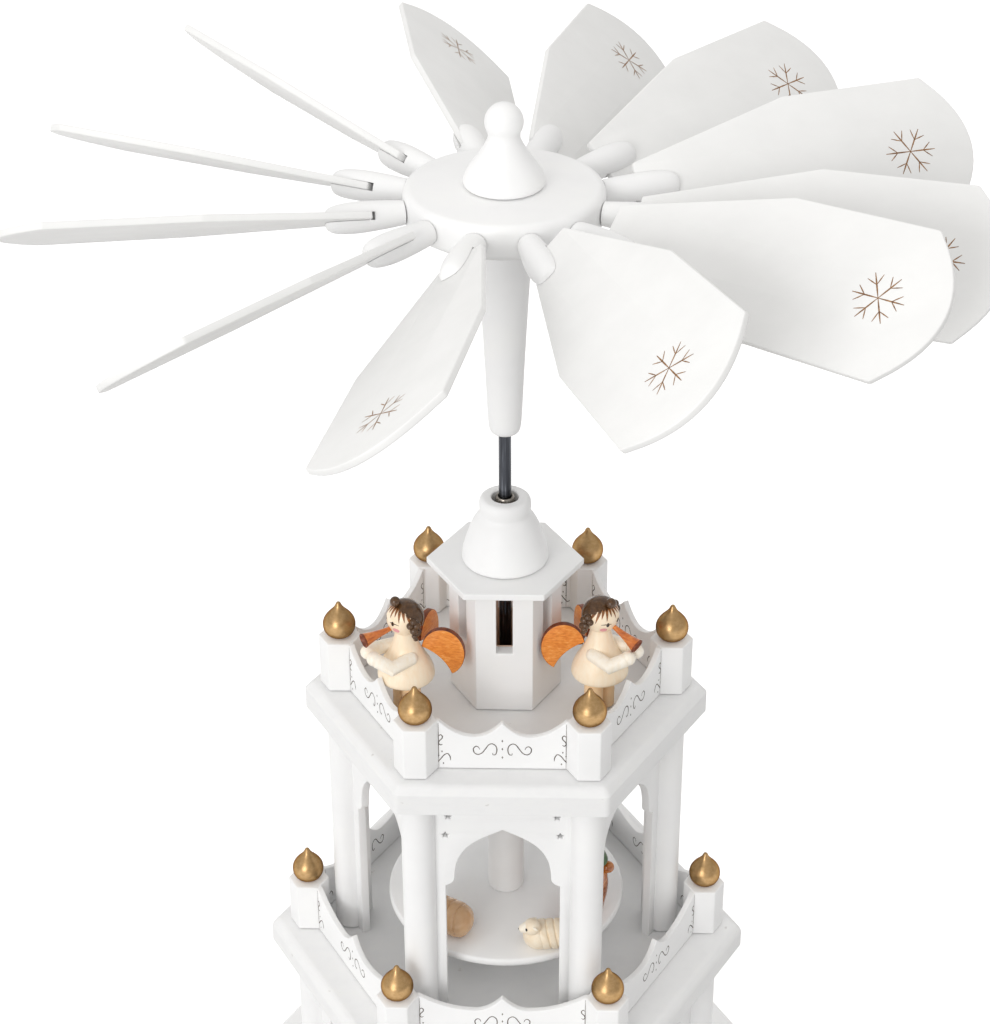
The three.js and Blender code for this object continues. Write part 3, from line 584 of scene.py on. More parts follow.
# The dark brown edge tint paints shade into the gold's reflection at glancing angles, darkening the rims of
# the finials
gold = finish(
    "gold_paint", [(0.3, (166, 134, 91)), (0.5, (176, 143, 99)), (0.72, (186, 153, 110))], 0.9,
    stretch=(0.7, 0.7, 1), roughness=(0.33, 0.4), bump=(0.6, 0.04), metallic=1.0, coat=0.15,
    edge=(120, 84, 42),
)
steel = finish(
    "polished_steel", [(0.3, (40, 41, 45)), (0.55, (70, 72, 77)), (0.7, (124, 127, 134))], 1.4,
    stretch=(1, 1, 0.05), roughness=(0.1, 0.2), bump=(0.25, 0.05), metallic=1.0,
)
brass = finish(
    "bush_metal", [(0.3, (104, 98, 92)), (0.55, (150, 144, 136)), (0.7, (190, 184, 176))], 1.0,
    roughness=(0.22, 0.36), bump=(0.4, 0.15), metallic=0.9,
)
wood = finish(
    "figure_wood", [(0.28, (252, 231, 200)), (0.5, (254, 236, 209)), (0.72, (255, 241, 217))], 1.4,
    stretch=(1, 1, 0.1), roughness=(0.36, 0.5), bump=(0.5, 0.08), coat=0.12,
)
pale_wood = finish(
    "pale_wood", [(0.28, (248, 236, 214)), (0.5, (252, 243, 227)), (0.72, (254, 248, 236))], 1.3,
    stretch=(1, 1, 0.15), roughness=(0.36, 0.5), bump=(0.5, 0.08), coat=0.12,
)
skin = finish(
    "face_wood", [(0.28, (250, 227, 194)), (0.5, (253, 233, 205)), (0.72, (254, 239, 214))], 1.6,
    stretch=(1, 1, 0.2), roughness=(0.34, 0.46), bump=(0.6, 0.06), coat=0.15,
)
leg_wood = finish(
    "leg_wood", [(0.28, (248, 206, 156)), (0.5, (251, 213, 166)), (0.72, (253, 221, 180))], 1.3,
    stretch=(1, 1, 0.12), roughness=(0.4, 0.55), bump=(0.5, 0.1),
)
orange_wood = finish(
    "stained_wood",
    [(0.3, (212, 114, 38)), (0.48, (232, 138, 52)), (0.6, (240, 154, 68)), (0.76, (248, 186, 112))], 0.36,
    stretch=(0.2, 0.2, 0.7), roughness=(0.34, 0.48), bump=(0.4, 0.15), detail=4.0, coat=0.2,
)
trumpet_wood = finish(
    "trumpet_wood", [(0.3, (172, 86, 30)), (0.5, (206, 112, 44)), (0.72, (228, 144, 72))], 0.9,
    stretch=(0.3, 0.3, 1), roughness=(0.28, 0.42), bump=(0.4, 0.12), coat=0.3,
)
rim_wood = finish(
    "rim_wood", [(0.3, (84, 34, 12)), (0.5, (120, 54, 20)), (0.72, (150, 74, 30))], 0.8,
    stretch=(0.3, 0.3, 1), roughness=(0.4, 0.55), bump=(0.4, 0.2),
)
hair = finish(
    "hair_paint", [(0.3, (68, 43, 22)), (0.5, (82, 55, 30)), (0.72, (98, 68, 40))], 1.2,
    roughness=(0.18, 0.26), bump=(0.5, 0.04), coat=0.25, specular=0.4,
)
fringe = finish(
    "fringe_paint", [(0.3, (112, 66, 26)), (0.55, (144, 86, 35)), (0.72, (170, 106, 48))], 0.8,
    roughness=(0.4, 0.5), bump=(0.4, 0.08),
)
cheek = finish(
    "cheek_paint", [(0.3, (240, 178, 178)), (0.55, (234, 158, 164)), (0.72, (242, 190, 188))], 0.7,
    roughness=(0.45, 0.55), bump=(0.5, 0.05),
)
black = finish(
    "eye_paint", [(0.3, (10, 8, 8)), (0.6, (18, 15, 14)), (0.72, (26, 22, 20))], 0.5,
    roughness=(0.25, 0.35), bump=(0.4, 0.05), coat=0.3,
)
fleece = finish(
    "sheep_wood", [(0.28, (240, 221, 192)), (0.5, (246, 230, 205)), (0.72, (250, 237, 216))], 2.0,
    roughness=(0.4, 0.5), bump=(0.5, 0.06),
)
tan_coat = finish(
    "tan_lacquer", [(0.3, (206, 162, 118)), (0.5, (213, 171, 127)), (0.72, (220, 180, 138))], 5,
    roughness=(0.18, 0.26), bump=(0.6, 0.04), coat=0.5,
)
amber = finish(
    "amber_lacquer", [(0.3, (128, 62, 18)), (0.5, (176, 98, 34)), (0.72, (206, 132, 58))], 1.6,
    stretch=(0.3, 0.3, 1), roughness=(0.18, 0.3), bump=(0.6, 0.1), coat=0.6,
)
green = finish(
    "green_paint", [(0.3, (48, 74, 44)), (0.55, (66, 98, 58)), (0.72, (88, 120, 74))], 1.0,
    roughness=(0.4, 0.5), bump=(0.4, 0.1),
)
floor_paper = finish(
    "studio_floor", [(0.3, (246, 246, 246)), (0.5, (249, 249, 249)), (0.7, (252, 252, 252))], 60,
    roughness=(0.8, 0.9), bump=(2.0, 0.02), specular=0.1,
)


# Levels of a node in the frame, and the distance of a side from the axis
def low(node):
    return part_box(node)[0].z / MM


def high(node):
    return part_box(node)[1].z / MM


def apothem(circle):
    return circle * cos(pi / SIDES)


def turned(name, body, slot, node, profile, segments, material, sharp=38):
    """A piece turned about the axis, in the place of its node"""
    piece = Piece(name)
    piece.add(lathe(profile, segments), material, shift(0, 0, low(node)))
    piece.build(body, slot, node, sharp=sharp)


# CAD nodes that stay get a material and softened edges
def keep(node, material, width):
    thing = frame["nodes"][node]
    thing.data.materials.clear()
    thing.data.materials.append(material)
    weld = thing.modifiers.new("weld", "WELD")
    weld.merge_threshold = 0.01 * MM
    edge = thing.modifiers.new("edge", "BEVEL")
    edge.width = width * MM
    edge.segments = 3
    edge.limit_method = "ANGLE"
    edge.angle_limit = radians(28)


for board in ("middle_floor", "top_floor"):
    keep(board, board_white_painted_shade, 1.0)
keep("roof_plate", white, 0.3)
keep("lantern_house", white, 0.4)
keep("foot_bearing", brass, 0.15)


# Base board with round tealight recesses
def base_board():
    top = high("base_plate")
    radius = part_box("base_plate")[1].x / MM
    over = top + 2
    outline = [(0, 0), (radius, 0), (radius, top - BASE_BEVEL), (radius - BASE_BEVEL, top), (0, top)]
    board = softened(lathe(outline, SIDES), 0.5)
    cup = cylinder(RECESS_RADIUS, RECESS_FLOOR, over, 72)
    seat = cylinder(BEARING_SEAT_RADIUS, BEARING_SEAT_FLOOR, over, 40)
    cutters = [moved(cup, turn(SIDE_STEP * i) @ shift(RECESS_CIRCLE, 0, 0)) for i in range(SIDES)]
    piece = Piece("base_board")
    piece.add(carved(board, [*cutters, seat]), white)
    piece.build("stand", "white_paint", "base_plate", sharp=30)


base_board()


# Arcades
def star(x, y, grow):
    out = []
    for i in range(10):
        radius = (STAR_RADIUS if i % 2 == 0 else STAR_RADIUS * 0.42) + grow
        angle = pi / 2 + pi * i / 5
        out.append((x + radius * cos(angle), y + radius * sin(angle)))
    return out


def arch_panel(half, height, stars):
    edge = 0.3
    opening = half - ARCH_LEG + edge
    shoulder = opening - ARCH_CUSP_STEP
    apex = height - ARCH_APEX_DROP + edge
    cusp = height - ARCH_CUSP_DROP + edge
    spring = cusp + ARCH_CUSP_STEP
    rise = apex - spring
    step = [(opening, cusp), (opening - 0.6, cusp), (shoulder, spring - 1.8), (shoulder, spring)]
    keel = [(shoulder, spring), (shoulder, spring + 0.66 * rise)]
    keel += [(0.5 * shoulder, spring + 0.8 * rise), (0, apex)]
    right = [*bezier(*step, steps=8), *bezier(*keel, steps=20)[1:]]
    left = [(-x, y) for x, y in right[:-1]]
    outline = [(half, 0), (opening, 0), *right, *left[::-1], (-opening, 0), (-half, 0)]
    outline += [(-half, height - edge), (half, height - edge)]
    holes = []
    for from_column, drop in stars:
        for side in (-1, 1):
            holes.append(star(side * (half - from_column), height - drop, edge))
    return plate([outline, *holes], PANEL_THICKNESS, edge)


def arcade(name, node, circle, stars):
    bottom = low(node)
    height = high(node) - bottom
    edge = 0.3
    column = lathe(
        [(0, 0), (COLUMN_RADIUS - edge, 0), (COLUMN_RADIUS, edge), (COLUMN_RADIUS, height - edge),
         (COLUMN_RADIUS - edge, height), (0, height)], 56,
    )
    panel = arch_panel(circle / 2, height, stars)
    upright = shift(0, PANEL_THICKNESS / 2 - apothem(circle), 0) @ UPRIGHT
    piece = Piece(name)
    for i in range(SIDES):
        around = shift(0, 0, bottom) @ turn(SIDE_STEP * i)
        piece.add(column, white, around @ shift(circle, 0, 0))
        piece.add(panel, white, around @ upright)
    piece.build("stand", "white_paint", node)


arcade("arcade_lower", "lower_arcade", LOWER_CIRCLE, [])
arcade("arcade_upper", "upper_arcade", UPPER_CIRCLE, STAR_PLACES)


# Balustrades with engraved scrolls
SCROLL = [
    (7.0, 7.3), (7.4, 8.2), (8.2, 8.5), (8.95, 7.6), (8.7, 6.1), (7.6, 5.4), (6.3, 6.0), (5.2, 7.6),
    (4.2, 9.1), (3.1, 9.5), (2.0, 8.6), (1.7, 7.0), (2.1, 5.5), (2.9, 5.3), (3.0, 6.0),
]
UPRIGHT_SCROLL = [
    (0.5, 12.3), (0.0, 12.8), (-0.6, 12.2), (-0.4, 11.3), (0.3, 10.5), (0.6, 9.6), (0.1, 8.9), (-0.6, 9.2),
]
LYING_SCROLL = [(-3.0, 3.0), (-2.9, 4.4), (-2.1, 5.6), (-1.0, 5.0), (0.0, 3.6), (1.0, 2.5), (1.9, 2.9)]
END_DOTS = [(-0.4, 6.4), (0.6, 4.9), (-0.8, 1.9)]


def scrolls(clear):
    end = clear - 0.7
    forms = []
    for side in (-1, 1):
        paths = [
            SCROLL,
            [(end + x, y) for x, y in UPRIGHT_SCROLL],
            [(end + x, y) for x, y in LYING_SCROLL],
        ]
        for path in paths:
            curve = smooth([(side * x, y) for x, y in path], 6)
            forms.append(ribbon(curve, 0.34))
        for x, y in END_DOTS:
            forms.append(diamond(side * (end + x), y, 0.5, 0.8))
    for y in (10.6, 7.5, 4.3):
        forms.append(diamond(0, y, 0.55, 1.0))
    for side in (-1, 1):
        joint = [(side * (clear - 0.08), y) for y in (0.3, 6.0, 12.0, 17.2)]
        forms.append(ribbon(joint, 0.22))
    return forms


def scalloped_rail(half):
    edge = 0.25
    clear = half - POST_RADIUS
    peak = RAIL_PEAK_HEIGHT - edge
    dip = RAIL_DIP_HEIGHT - edge
    post = POST_HEIGHT - edge - 0.35
    outer = (clear + RAIL_DIP_AT) / 2
    inner = RAIL_DIP_AT / 2
    fall = quadratic((clear, post), (outer, dip), (RAIL_DIP_AT, dip), 12)
    climb = quadratic((RAIL_DIP_AT, dip), (inner, dip), (0, peak), 12)
    right = [*fall[:-1], *climb]
    left = [(-x, y) for x, y in right[:-1]]
    hidden = half - POST_RADIUS / 2
    outline = [(-hidden, edge), (hidden, edge), (hidden, post), *right, *left[::-1], (-hidden, post)]
    return plate([outline], RAIL_THICKNESS, edge)


def balustrade(name, node, circle):
    bottom = low(node)
    post = softened(cylinder(POST_RADIUS, 0, POST_HEIGHT, SIDES), 0.45)
    rail = scalloped_rail(circle / 2)
    middle = shift(0, RAIL_THICKNESS / 2 - apothem(circle), 0) @ UPRIGHT
    piece = Piece(name)
    lines = Piece(name + "_scrolls")
    forms = scrolls(circle / 2 - POST_RADIUS)
    face = RAIL_THICKNESS / 2 + LIFT
    for i in range(SIDES):
        around = shift(0, 0, bottom) @ turn(SIDE_STEP * i)
        piece.add(post, white, around @ shift(circle, 0, 0))
        piece.add(rail, white, around @ middle)
        for form in forms:
            lines.add(form, engraved, around @ middle @ shift(0, 0, face))
            lines.add(form, engraved, around @ middle @ shift(0, 0, -face))
    piece.build("stand", "white_paint", node)
    lines.build("stand", "brown_wood")


balustrade("gallery_middle", "middle_balustrade", LOWER_CIRCLE)
balustrade("gallery_top", "top_balustrade", UPPER_CIRCLE)


# Gold finials
FINIAL = [
    (2.9, 0), (3.7, 0.35), (4.5, 1.2), (5.1, 2.5), (5.3, 4.0), (5.05, 5.5), (4.35, 6.9), (3.35, 8.2),
    (2.25, 9.4), (1.4, 10.5), (0.95, 11.4), (0.6, 12.1), (0, 12.4),
]


def finials(prefix, node, circle):
    form = lathe([(0, 0), *smooth(FINIAL, 4)], 40)
    for i in range(SIDES):
        piece = Piece(f"{prefix}_{i + 1}")
        name = f"{node}_{i + 1}"
        piece.add(form, gold, turn(SIDE_STEP * i) @ shift(circle, 0, low(name)))
        piece.build("stand", "gold_paint", name, sharp=50)


finials("onion_middle", "middle_finial", LOWER_CIRCLE)
finials("onion_top", "top_finial", UPPER_CIRCLE)


# Roof dome, its bush and the shaft
DOME = [
    (12.9, 0), (13.5, 0.4), (13.7, 1.4), (13.5, 3.3), (13.0, 5.2), (12.4, 7.2), (11.75, 9.3),
    (11.05, 11.4), (10.2, 13.4), (9.2, 15.1), (8.3, 16.3), (7.95, 17.1), (8.05, 18.0), (8.2, 19.2),
    (8.2, 20.4), (8.0, 21.3), (7.5, 22.0), (6.8, 22.34), (6.2, 22.4),
]


def roof():
    profile = [(0, 0), *smooth(DOME, 5), (4.6, 22.4), (4.3, 22.1), (4.25, 14.2), (0, 14.2)]
    turned("bell_dome", "stand", "white_paint", "roof_dome", profile, 72, white)
    top = high("roof_bush") - low("roof_bush")
    shoulder = top - 3.4
    profile = [(2.3, 0), (4.2, 0), (4.2, shoulder - 0.2), (4.0, shoulder), (3.2, shoulder)]
    profile += [(3.0, shoulder + 0.2), (3.0, top - 0.4), (2.7, top), (2.3, top), (2.3, 0)]
    turned("shaft_bush", "stand", "brass", "roof_bush", profile, 48, brass)


roof()


def steel_shaft():
    top = high("shaft") - low("shaft")
    profile = [(0, 0), (0.4, 0.3), (SHAFT_RADIUS, 3), (SHAFT_RADIUS, top - 0.4)]
    profile += [(SHAFT_RADIUS - 0.4, top), (0, top)]
    turned("steel_rod", "rotor", "steel", "shaft", profile, 40, steel, sharp=25)


steel_shaft()


# Bare wood lining of the lantern, open at the windows
def lantern_lining():
    bottom = low("lantern_house")
    height = high("lantern_house") - bottom
    thickness = 0.3
    inside = apothem(LANTERN_RADIUS) - LANTERN_WALL - thickness / 2
    half = inside / sqrt(3) - 0.05
    slot = WINDOW_WIDTH / 2
    sill = height - WINDOW_HEIGHT
    foot, head = 0.2, height - 0.2
    outline = [(-half, foot), (half, foot), (half, head), (slot, head), (slot, sill)]
    outline += [(-slot, sill), (-slot, head), (-half, head)]
    sheet = plate([outline], thickness, 0.05)
    piece = Piece("lantern_lining")
    for i in range(SIDES):
        piece.add(sheet, lining, shift(0, 0, bottom) @ turn(SIDE_STEP * i) @ shift(0, -inside, 0) @ UPRIGHT)
    piece.build("stand", "brown_wood")


lantern_lining()


# Turntables
def turntable_profile(radius):
    floor, top = TABLE_THICKNESS, SPINDLE_TOP
    thin = SPINDLE_RADIUS
    edge = bezier((radius - 1.2, 0), (radius, 0.2), (radius, floor - 0.2), (radius - 1.2, floor), 8)
    inner, outer = (thin - 0.6, floor), (thin, floor + 1.2)
    foot = bezier(inner, (thin - 0.3, floor + 0.1), (thin, floor + 0.4), outer, 5)
    crown = bezier((thin, top - 1.2), (thin, top - 0.4), (thin - 0.2, top), (thin - 0.9, top), 5)
    return [(0, 0), *edge, *foot, *crown, (0, top)]


def robed(height, radius, robe, face, cap, piece, matrix):
    head = 0.62 * radius
    neck = height - 1.7 * head
    waist, chest = (0.8 * radius, 0.5 * neck), (0.75 * radius, 0.9 * neck)
    gown = bezier((radius, 0.8), waist, chest, (0.3 * radius, neck), 14)
    piece.add(lathe([(0, 0), (radius - 0.5, 0), (radius, 0.5), *gown, (0, neck)], 40), robe, matrix)
    piece.add(ball(head, (0, 0, height - head), segments=28), face, matrix)
    angle = [radians(a) for a in range(0, 81, 8)]
    hood = [((head + 0.25) * sin(a), (head + 0.25) * cos(a)) for a in angle][::-1]
    hood[-1] = (0, head + 0.25)
    tilt = shift(0, 0, height - head) @ Matrix.Rotation(radians(-30), 4, "Y")
    piece.add(lathe([(head * 0.9, hood[0][1]), *hood], 28), cap, matrix @ tilt)
    for side in (-1, 1):
        shoulder = (0.1 * radius, side * 0.62 * radius, 0.82 * neck)
        elbow = (0.5 * radius, side * 0.9 * radius, 0.62 * neck)
        hand = (0.95 * radius, side * 0.3 * radius, 0.62 * neck)
        arm = smooth([shoulder, elbow, hand], 5)
        piece.add(tube(arm, [0.17 * radius] * len(arm)), robe, matrix)
        piece.add(ball(0.2 * radius, hand, segments=14), face, matrix)
        eye = on_ball((0, 0, height - head), head, side * 20, 5, 0.09 * head, 0.14 * head)
        piece.add(eye, black, matrix)


def turntables():
    profile = turntable_profile(UPPER_TABLE_RADIUS)
    turned("table_upper", "rotor", "white_paint", "upper_turntable", profile, 96, white, sharp=45)
    lower = Piece("table_lower")
    bottom = low("lower_turntable")
    lower.add(lathe(turntable_profile(LOWER_TABLE_RADIUS), 96), white, shift(0, 0, bottom))
    figures = [
        (-90, 28.5, 7, wood, hair), (30, 32.5, 7.5, amber, hair), (150, 30.5, 7, pale_wood, orange_wood),
    ]
    for degree, height, radius, robe, cap in figures:
        place = stand_at(LOWER_FIGURE_CIRCLE, degree, bottom + TABLE_THICKNESS, degree)
        robed(height, radius, robe, skin, cap, lower, place)
    lower.build("rotor", "white_paint", "lower_turntable", sharp=45)


turntables()


# Sheep and shepherd on the upper turntable
def sheep(name, node, coat, muzzle, length, aside, circle, degree, face):
    piece = Piece(name)
    half = length / 2
    thick = 0.3 * length
    profile = []
    steps = 110
    for i in range(steps + 1):
        x = -half + length * i / steps
        s = min(1.0, abs(x) / half)
        radius = thick * max(0.0, 1 - max(0.0, (s - 0.35) / 0.65) ** 2.6) ** 0.5
        behind = min(1.0, max(0.0, 0.9 - 4 * x / length))
        groove = 0.55 * (0.5 + 0.5 * cos(2 * pi * x / (0.15 * length))) ** 8 * (1 - s**4) * behind
        profile.append((max(0.0, radius - groove), x))
    profile[0] = (0, -half)
    profile[-1] = (0, half)
    lying = shift(0, 0, 0.92 * thick) @ Matrix.Rotation(radians(90), 4, "Y")
    points, faces = moved(lathe(profile, 40), lying)
    body = []
    for p in points:
        forward = 0.22 * (p.z - thick) * (1 - (p.x / half) ** 2)
        body.append((p.x + forward, p.y, max(p.z, 0.0)))
    place = stand_at(circle, degree, low(node), face)
    piece.add((body, faces), coat, place)
    ball_radius = 0.17 * length
    head = (0.66 * half, aside, 0.58 * length)
    piece.add(ball(ball_radius, head, segments=32), coat, place)
    x, z = head[0] + 0.5 * ball_radius, head[2]
    reach = 0.62 * ball_radius + 0.07 * length
    snout = [(x + reach * t, aside, z - 0.9 * t) for t in (0, 0.3, 0.55, 0.75, 0.9, 1.0)]
    widths = [0.72 * ball_radius * w for w in (1.0, 0.86, 0.74, 0.62, 0.42, 0.06)]
    piece.add(tube(smooth(snout, 3), [w[0] for w in smooth([(w,) for w in widths], 3)], 20), muzzle, place)
    for side in (-1, 1):
        ear = []
        for t in (0, 0.25, 0.5, 0.75, 1.0):
            across = aside + side * ball_radius * (0.72 + 0.4 * t)
            ear.append((head[0] - 0.1 * length * t, across, z + ball_radius * (0.5 - 0.2 * t)))
        piece.add(tube(ear, [0.2, 0.4, 0.46, 0.4, 0.12], 12), muzzle, place)
        piece.add(on_ball(head, ball_radius, side * 44, 8, 0.5, 0.55), black, place)
    piece.add(ball(0.42, (snout[-1][0] - 0.25, aside, snout[-1][2] + 0.3), segments=14), black, place)
    piece.build("rotor", "figure_wood", node, sharp=50)


sheep(
    "lying_sheep", "sheep_1", fleece, pale_wood, length=17, aside=2.2, circle=35.52, degree=-65.5, face=185,
)
sheep("tan_sheep", "sheep_2", tan_coat, tan_coat, length=20, aside=0, circle=31.22, degree=-129, face=150)


def herdsman():
    piece = Piece("herdsman")
    place = stand_at(31.92, -24.8, low("shepherd"), -60)
    robe = [
        (0, 0), (3.9, 0), (4.2, 0.4), (4.9, 4), (5.6, 8), (5.75, 12), (5.3, 15.6), (4.2, 17.4), (2.2, 18.4),
        (0, 18.6),
    ]
    piece.add(lathe(robe, 40), amber, place)
    centre = (0, 0, 21.2)
    head = 3.5
    piece.add(ball(head, centre, segments=28), skin, place)
    hat = [
        (0, 23.4), (4.0, 22.0), (5.1, 20.9), (5.4, 21.0), (5.35, 21.6), (4.6, 23.6), (3.6, 25.8),
        (2.8, 28.6), (1.4, 31.0), (0, 31.9),
    ]
    piece.add(lathe(smooth(hat, 3), 36), green, place)
    for side in (-1, 1):
        piece.add(ball(2.1, (2.6, 4.9 * side, 17.6), segments=24), amber, place)
        piece.add(on_ball(centre, head, side * 20, -10, 0.35, 0.5), black, place)
    staff = [(4.8, -6.2, 0), (4.8, -6.2, 12), (4.85, -6.2, 24), (4.8, -6.2, 34)]
    piece.add(tube(staff, [0.75, 0.75, 0.7, 0.6], 12), orange_wood, place)
    piece.build("rotor", "brown_wood", "shepherd", sharp=50)


herdsman()


# Rotor: hub, cap and sleeve
SLEEVE = [
    (3.2, 0), (4.3, 0.7), (4.95, 2.4), (5.35, 8), (5.9, 20), (6.6, 34), (7.5, 50), (8.5, 64), (9.0, 71),
]
BELL = [
    (11.2, 0), (11.75, 0.35), (12.0, 1.3), (11.7, 2.6), (10.95, 4.2), (9.9, 5.9), (8.65, 7.6), (7.4, 9.4),
    (6.2, 11.4), (5.3, 13.1), (4.8, 14.3), (4.7, 15.2),
]


def rotor_turned():
    top = high("rotor_hub") - low("rotor_hub")
    soft = HUB_SOFTNESS
    lower = quarter(soft, HUB_RADIUS - soft, soft, -90)
    upper = quarter(soft, HUB_RADIUS - soft, top - soft, 0)
    profile = [(0, 0), *lower, *upper, (0, top)]
    turned("hub_disc", "rotor", "white_paint", "rotor_hub", profile, 128, white, sharp=50)
    neck_angle = acos(CAP_NECK / CAP_BALL)
    knob = []
    for i in range(18):
        a = -neck_angle + (pi / 2 + neck_angle) * i / 18
        knob.append((CAP_BALL * cos(a), CAP_BALL_LEVEL + CAP_BALL * sin(a)))
    knob.append((0, CAP_BALL_LEVEL + CAP_BALL))
    profile = [(0, 0), *smooth(BELL, 4), *knob]
    turned("bell_cap", "rotor", "white_paint", "rotor_cap", profile, 80, white, sharp=55)
    profile = [(0, 0.6), (2.4, 0), *smooth(SLEEVE, 5), (0, SLEEVE[-1][1])]
    turned("taper_sleeve", "rotor", "white_paint", "rotor_sleeve", profile, 64, white, sharp=55)


rotor_turned()


# Blades in their slotted holders, with an engraved snowflake on each blade
PEG = [
    (3.3, 0), (3.6, 0.3), (3.95, 3.5), (4.3, 7.5), (4.55, 11.5), (4.6, 14.5), (4.45, 17.5), (4.05, 20.2),
    (3.4, 21.9), (2.4, 22.8), (1.2, 23), (0, 23),
]


def slot_lean(lean):
    return shift(SLOT_MIDDLE, 0, 0) @ Matrix.Rotation(radians(-lean), 4, "Y") @ shift(-SLOT_MIDDLE, 0, 0)


def peg_form(lean):
    profile = [(0, HOLDER_ROOT), *[(r, HOLDER_ROOT + x) for r, x in smooth(PEG, 3)]]
    along = Matrix.Rotation(radians(90), 4, "Y")
    depth = HOLDER_END - SLOT_START
    slot = block(2 * depth, 3 * HOLDER_RADIUS, BLADE_THICKNESS + 0.2)
    slot = moved(slot, slot_lean(lean) @ shift(SLOT_START + depth, 0, 0))
    return carved(moved(lathe(profile, 48), along), [slot])


def blade_form():
    edge = 0.45
    bow = BLADE_TIP - edge - BLADE_END
    end = []
    for k in range(-7, 8):
        t = k / 8
        end.append((BLADE_END + bow * (1 - t * t), BLADE_END_HALF * t))
    side = [(BLADE_ROOT + edge, BLADE_ROOT_HALF - edge), (BLADE_KINK, BLADE_KINK_HALF - edge)]
    side += [(BLADE_WIDEST, BLADE_HALF - edge)]
    corners = [*[(x, -y) for x, y in side], *end, *side[::-1]]
    radii = [0.4, 3.0, 1.1, *[0] * len(end), 1.1, 3.0, 0.4]
    return plate([rounded(corners, radii)], BLADE_THICKNESS, edge)


def snowflake():
    centre = Vector((FLAKE_CENTRE, 0, 0))
    forms = []
    for i in range(6):
        arm = heading(60 * i, 0) * FLAKE_ARM
        forms.append(ribbon([centre + arm * t for t in (0.0, 0.34, 0.67, 1.0)], 0.44))
        for side in (-1, 1):
            twig = heading(60 * i + 42 * side, 0) * FLAKE_TWIG
            forms.append(ribbon([centre + arm * 0.52 + twig * t for t in (0, 0.5, 1.0)], 0.36))
    return forms


def blades():
    leaf = blade_form()
    flake = snowflake()
    level = (low("rotor_hub") + high("rotor_hub")) / 2
    face = BLADE_THICKNESS / 2 + LIFT
    for i, (pitch, lean, skew) in enumerate(BLADE_SEATS):
        number = f"{i + 1:02d}"
        body = f"paddle_{number}"
        tip = Matrix.Rotation(radians(pitch), 4, "X")
        arm = turn(FIRST_BLADE + BLADE_STEP * i) @ shift(0, 0, level) @ tip
        place = arm @ slot_lean(lean) @ turn(skew)
        holder = Piece(f"peg_{number}")
        holder.add(peg_form(lean), white, arm)
        holder.build(body, "white_paint", f"blade_holder_{number}", sharp=40)
        vane = Piece(f"vane_{number}")
        vane.add(leaf, blade_white_painted_shade, place)
        vane.build(body, "white_paint", f"blade_{number}", sharp=40)
        lines = Piece(f"snowflake_{number}")
        for form in flake:
            lines.add(form, bronze, place @ shift(0, 0, face))
        lines.build(body, "brown_wood")


blades()


# Angels
HEAD = 5.8
HEAD_LEVEL = 36.0
HAIR_TILT = 48
HAIR_REACH = 75
BUN_REACH = 7.6
ARM_RADIUS = 2.25
HAND_RADIUS = 2.35
DRESS_HEM = 13.7
DRESS_TOP = 31.9
LEG_SPACING = 3.2
WING_WIDTH = 14.0
WING_HEIGHT = 17.2
WING_THICKNESS = 2.0
WING_SWEEP = 38
WING_ROOT = -4.55
WING_REACH = 7.56
WING_LEVEL = 23


def hairline(azimuth):
    """Elevation of the hair's edge at an azimuth"""
    t, a = radians(HAIR_TILT), radians(azimuth)
    x, y = cos(t), -sin(t) * cos(a)
    return degrees(asin(cos(radians(HAIR_REACH)) / sqrt(x * x + y * y)) - atan2(y, x))


def angel_wing(side):
    """The flat faces and the rim of a crescent wing"""
    edge = 0.3
    wide, tall = WING_WIDTH / 2 - edge, WING_HEIGHT / 2 - edge
    bite_centre = Vector((-11.9, -13.3))
    bite = 15.7 + edge
    outline = []
    for k in range(90):
        angle = 2 * pi * k / 90
        point = Vector((wide * cos(angle), tall * sin(angle)))
        away = point - bite_centre
        if away.length < bite:
            point = bite_centre + away.normalized() * bite
        if (point.x / wide) ** 2 + (point.y / tall) ** 2 <= 1.0001:
            outline.append(tuple(point))
    swept = shift(WING_ROOT, side, 0) @ turn(180 - WING_SWEEP * side)
    stand = swept @ shift(WING_REACH, 0, WING_LEVEL) @ UPRIGHT
    return [moved(form, stand) for form in parted(plate([outline], WING_THICKNESS, edge))]


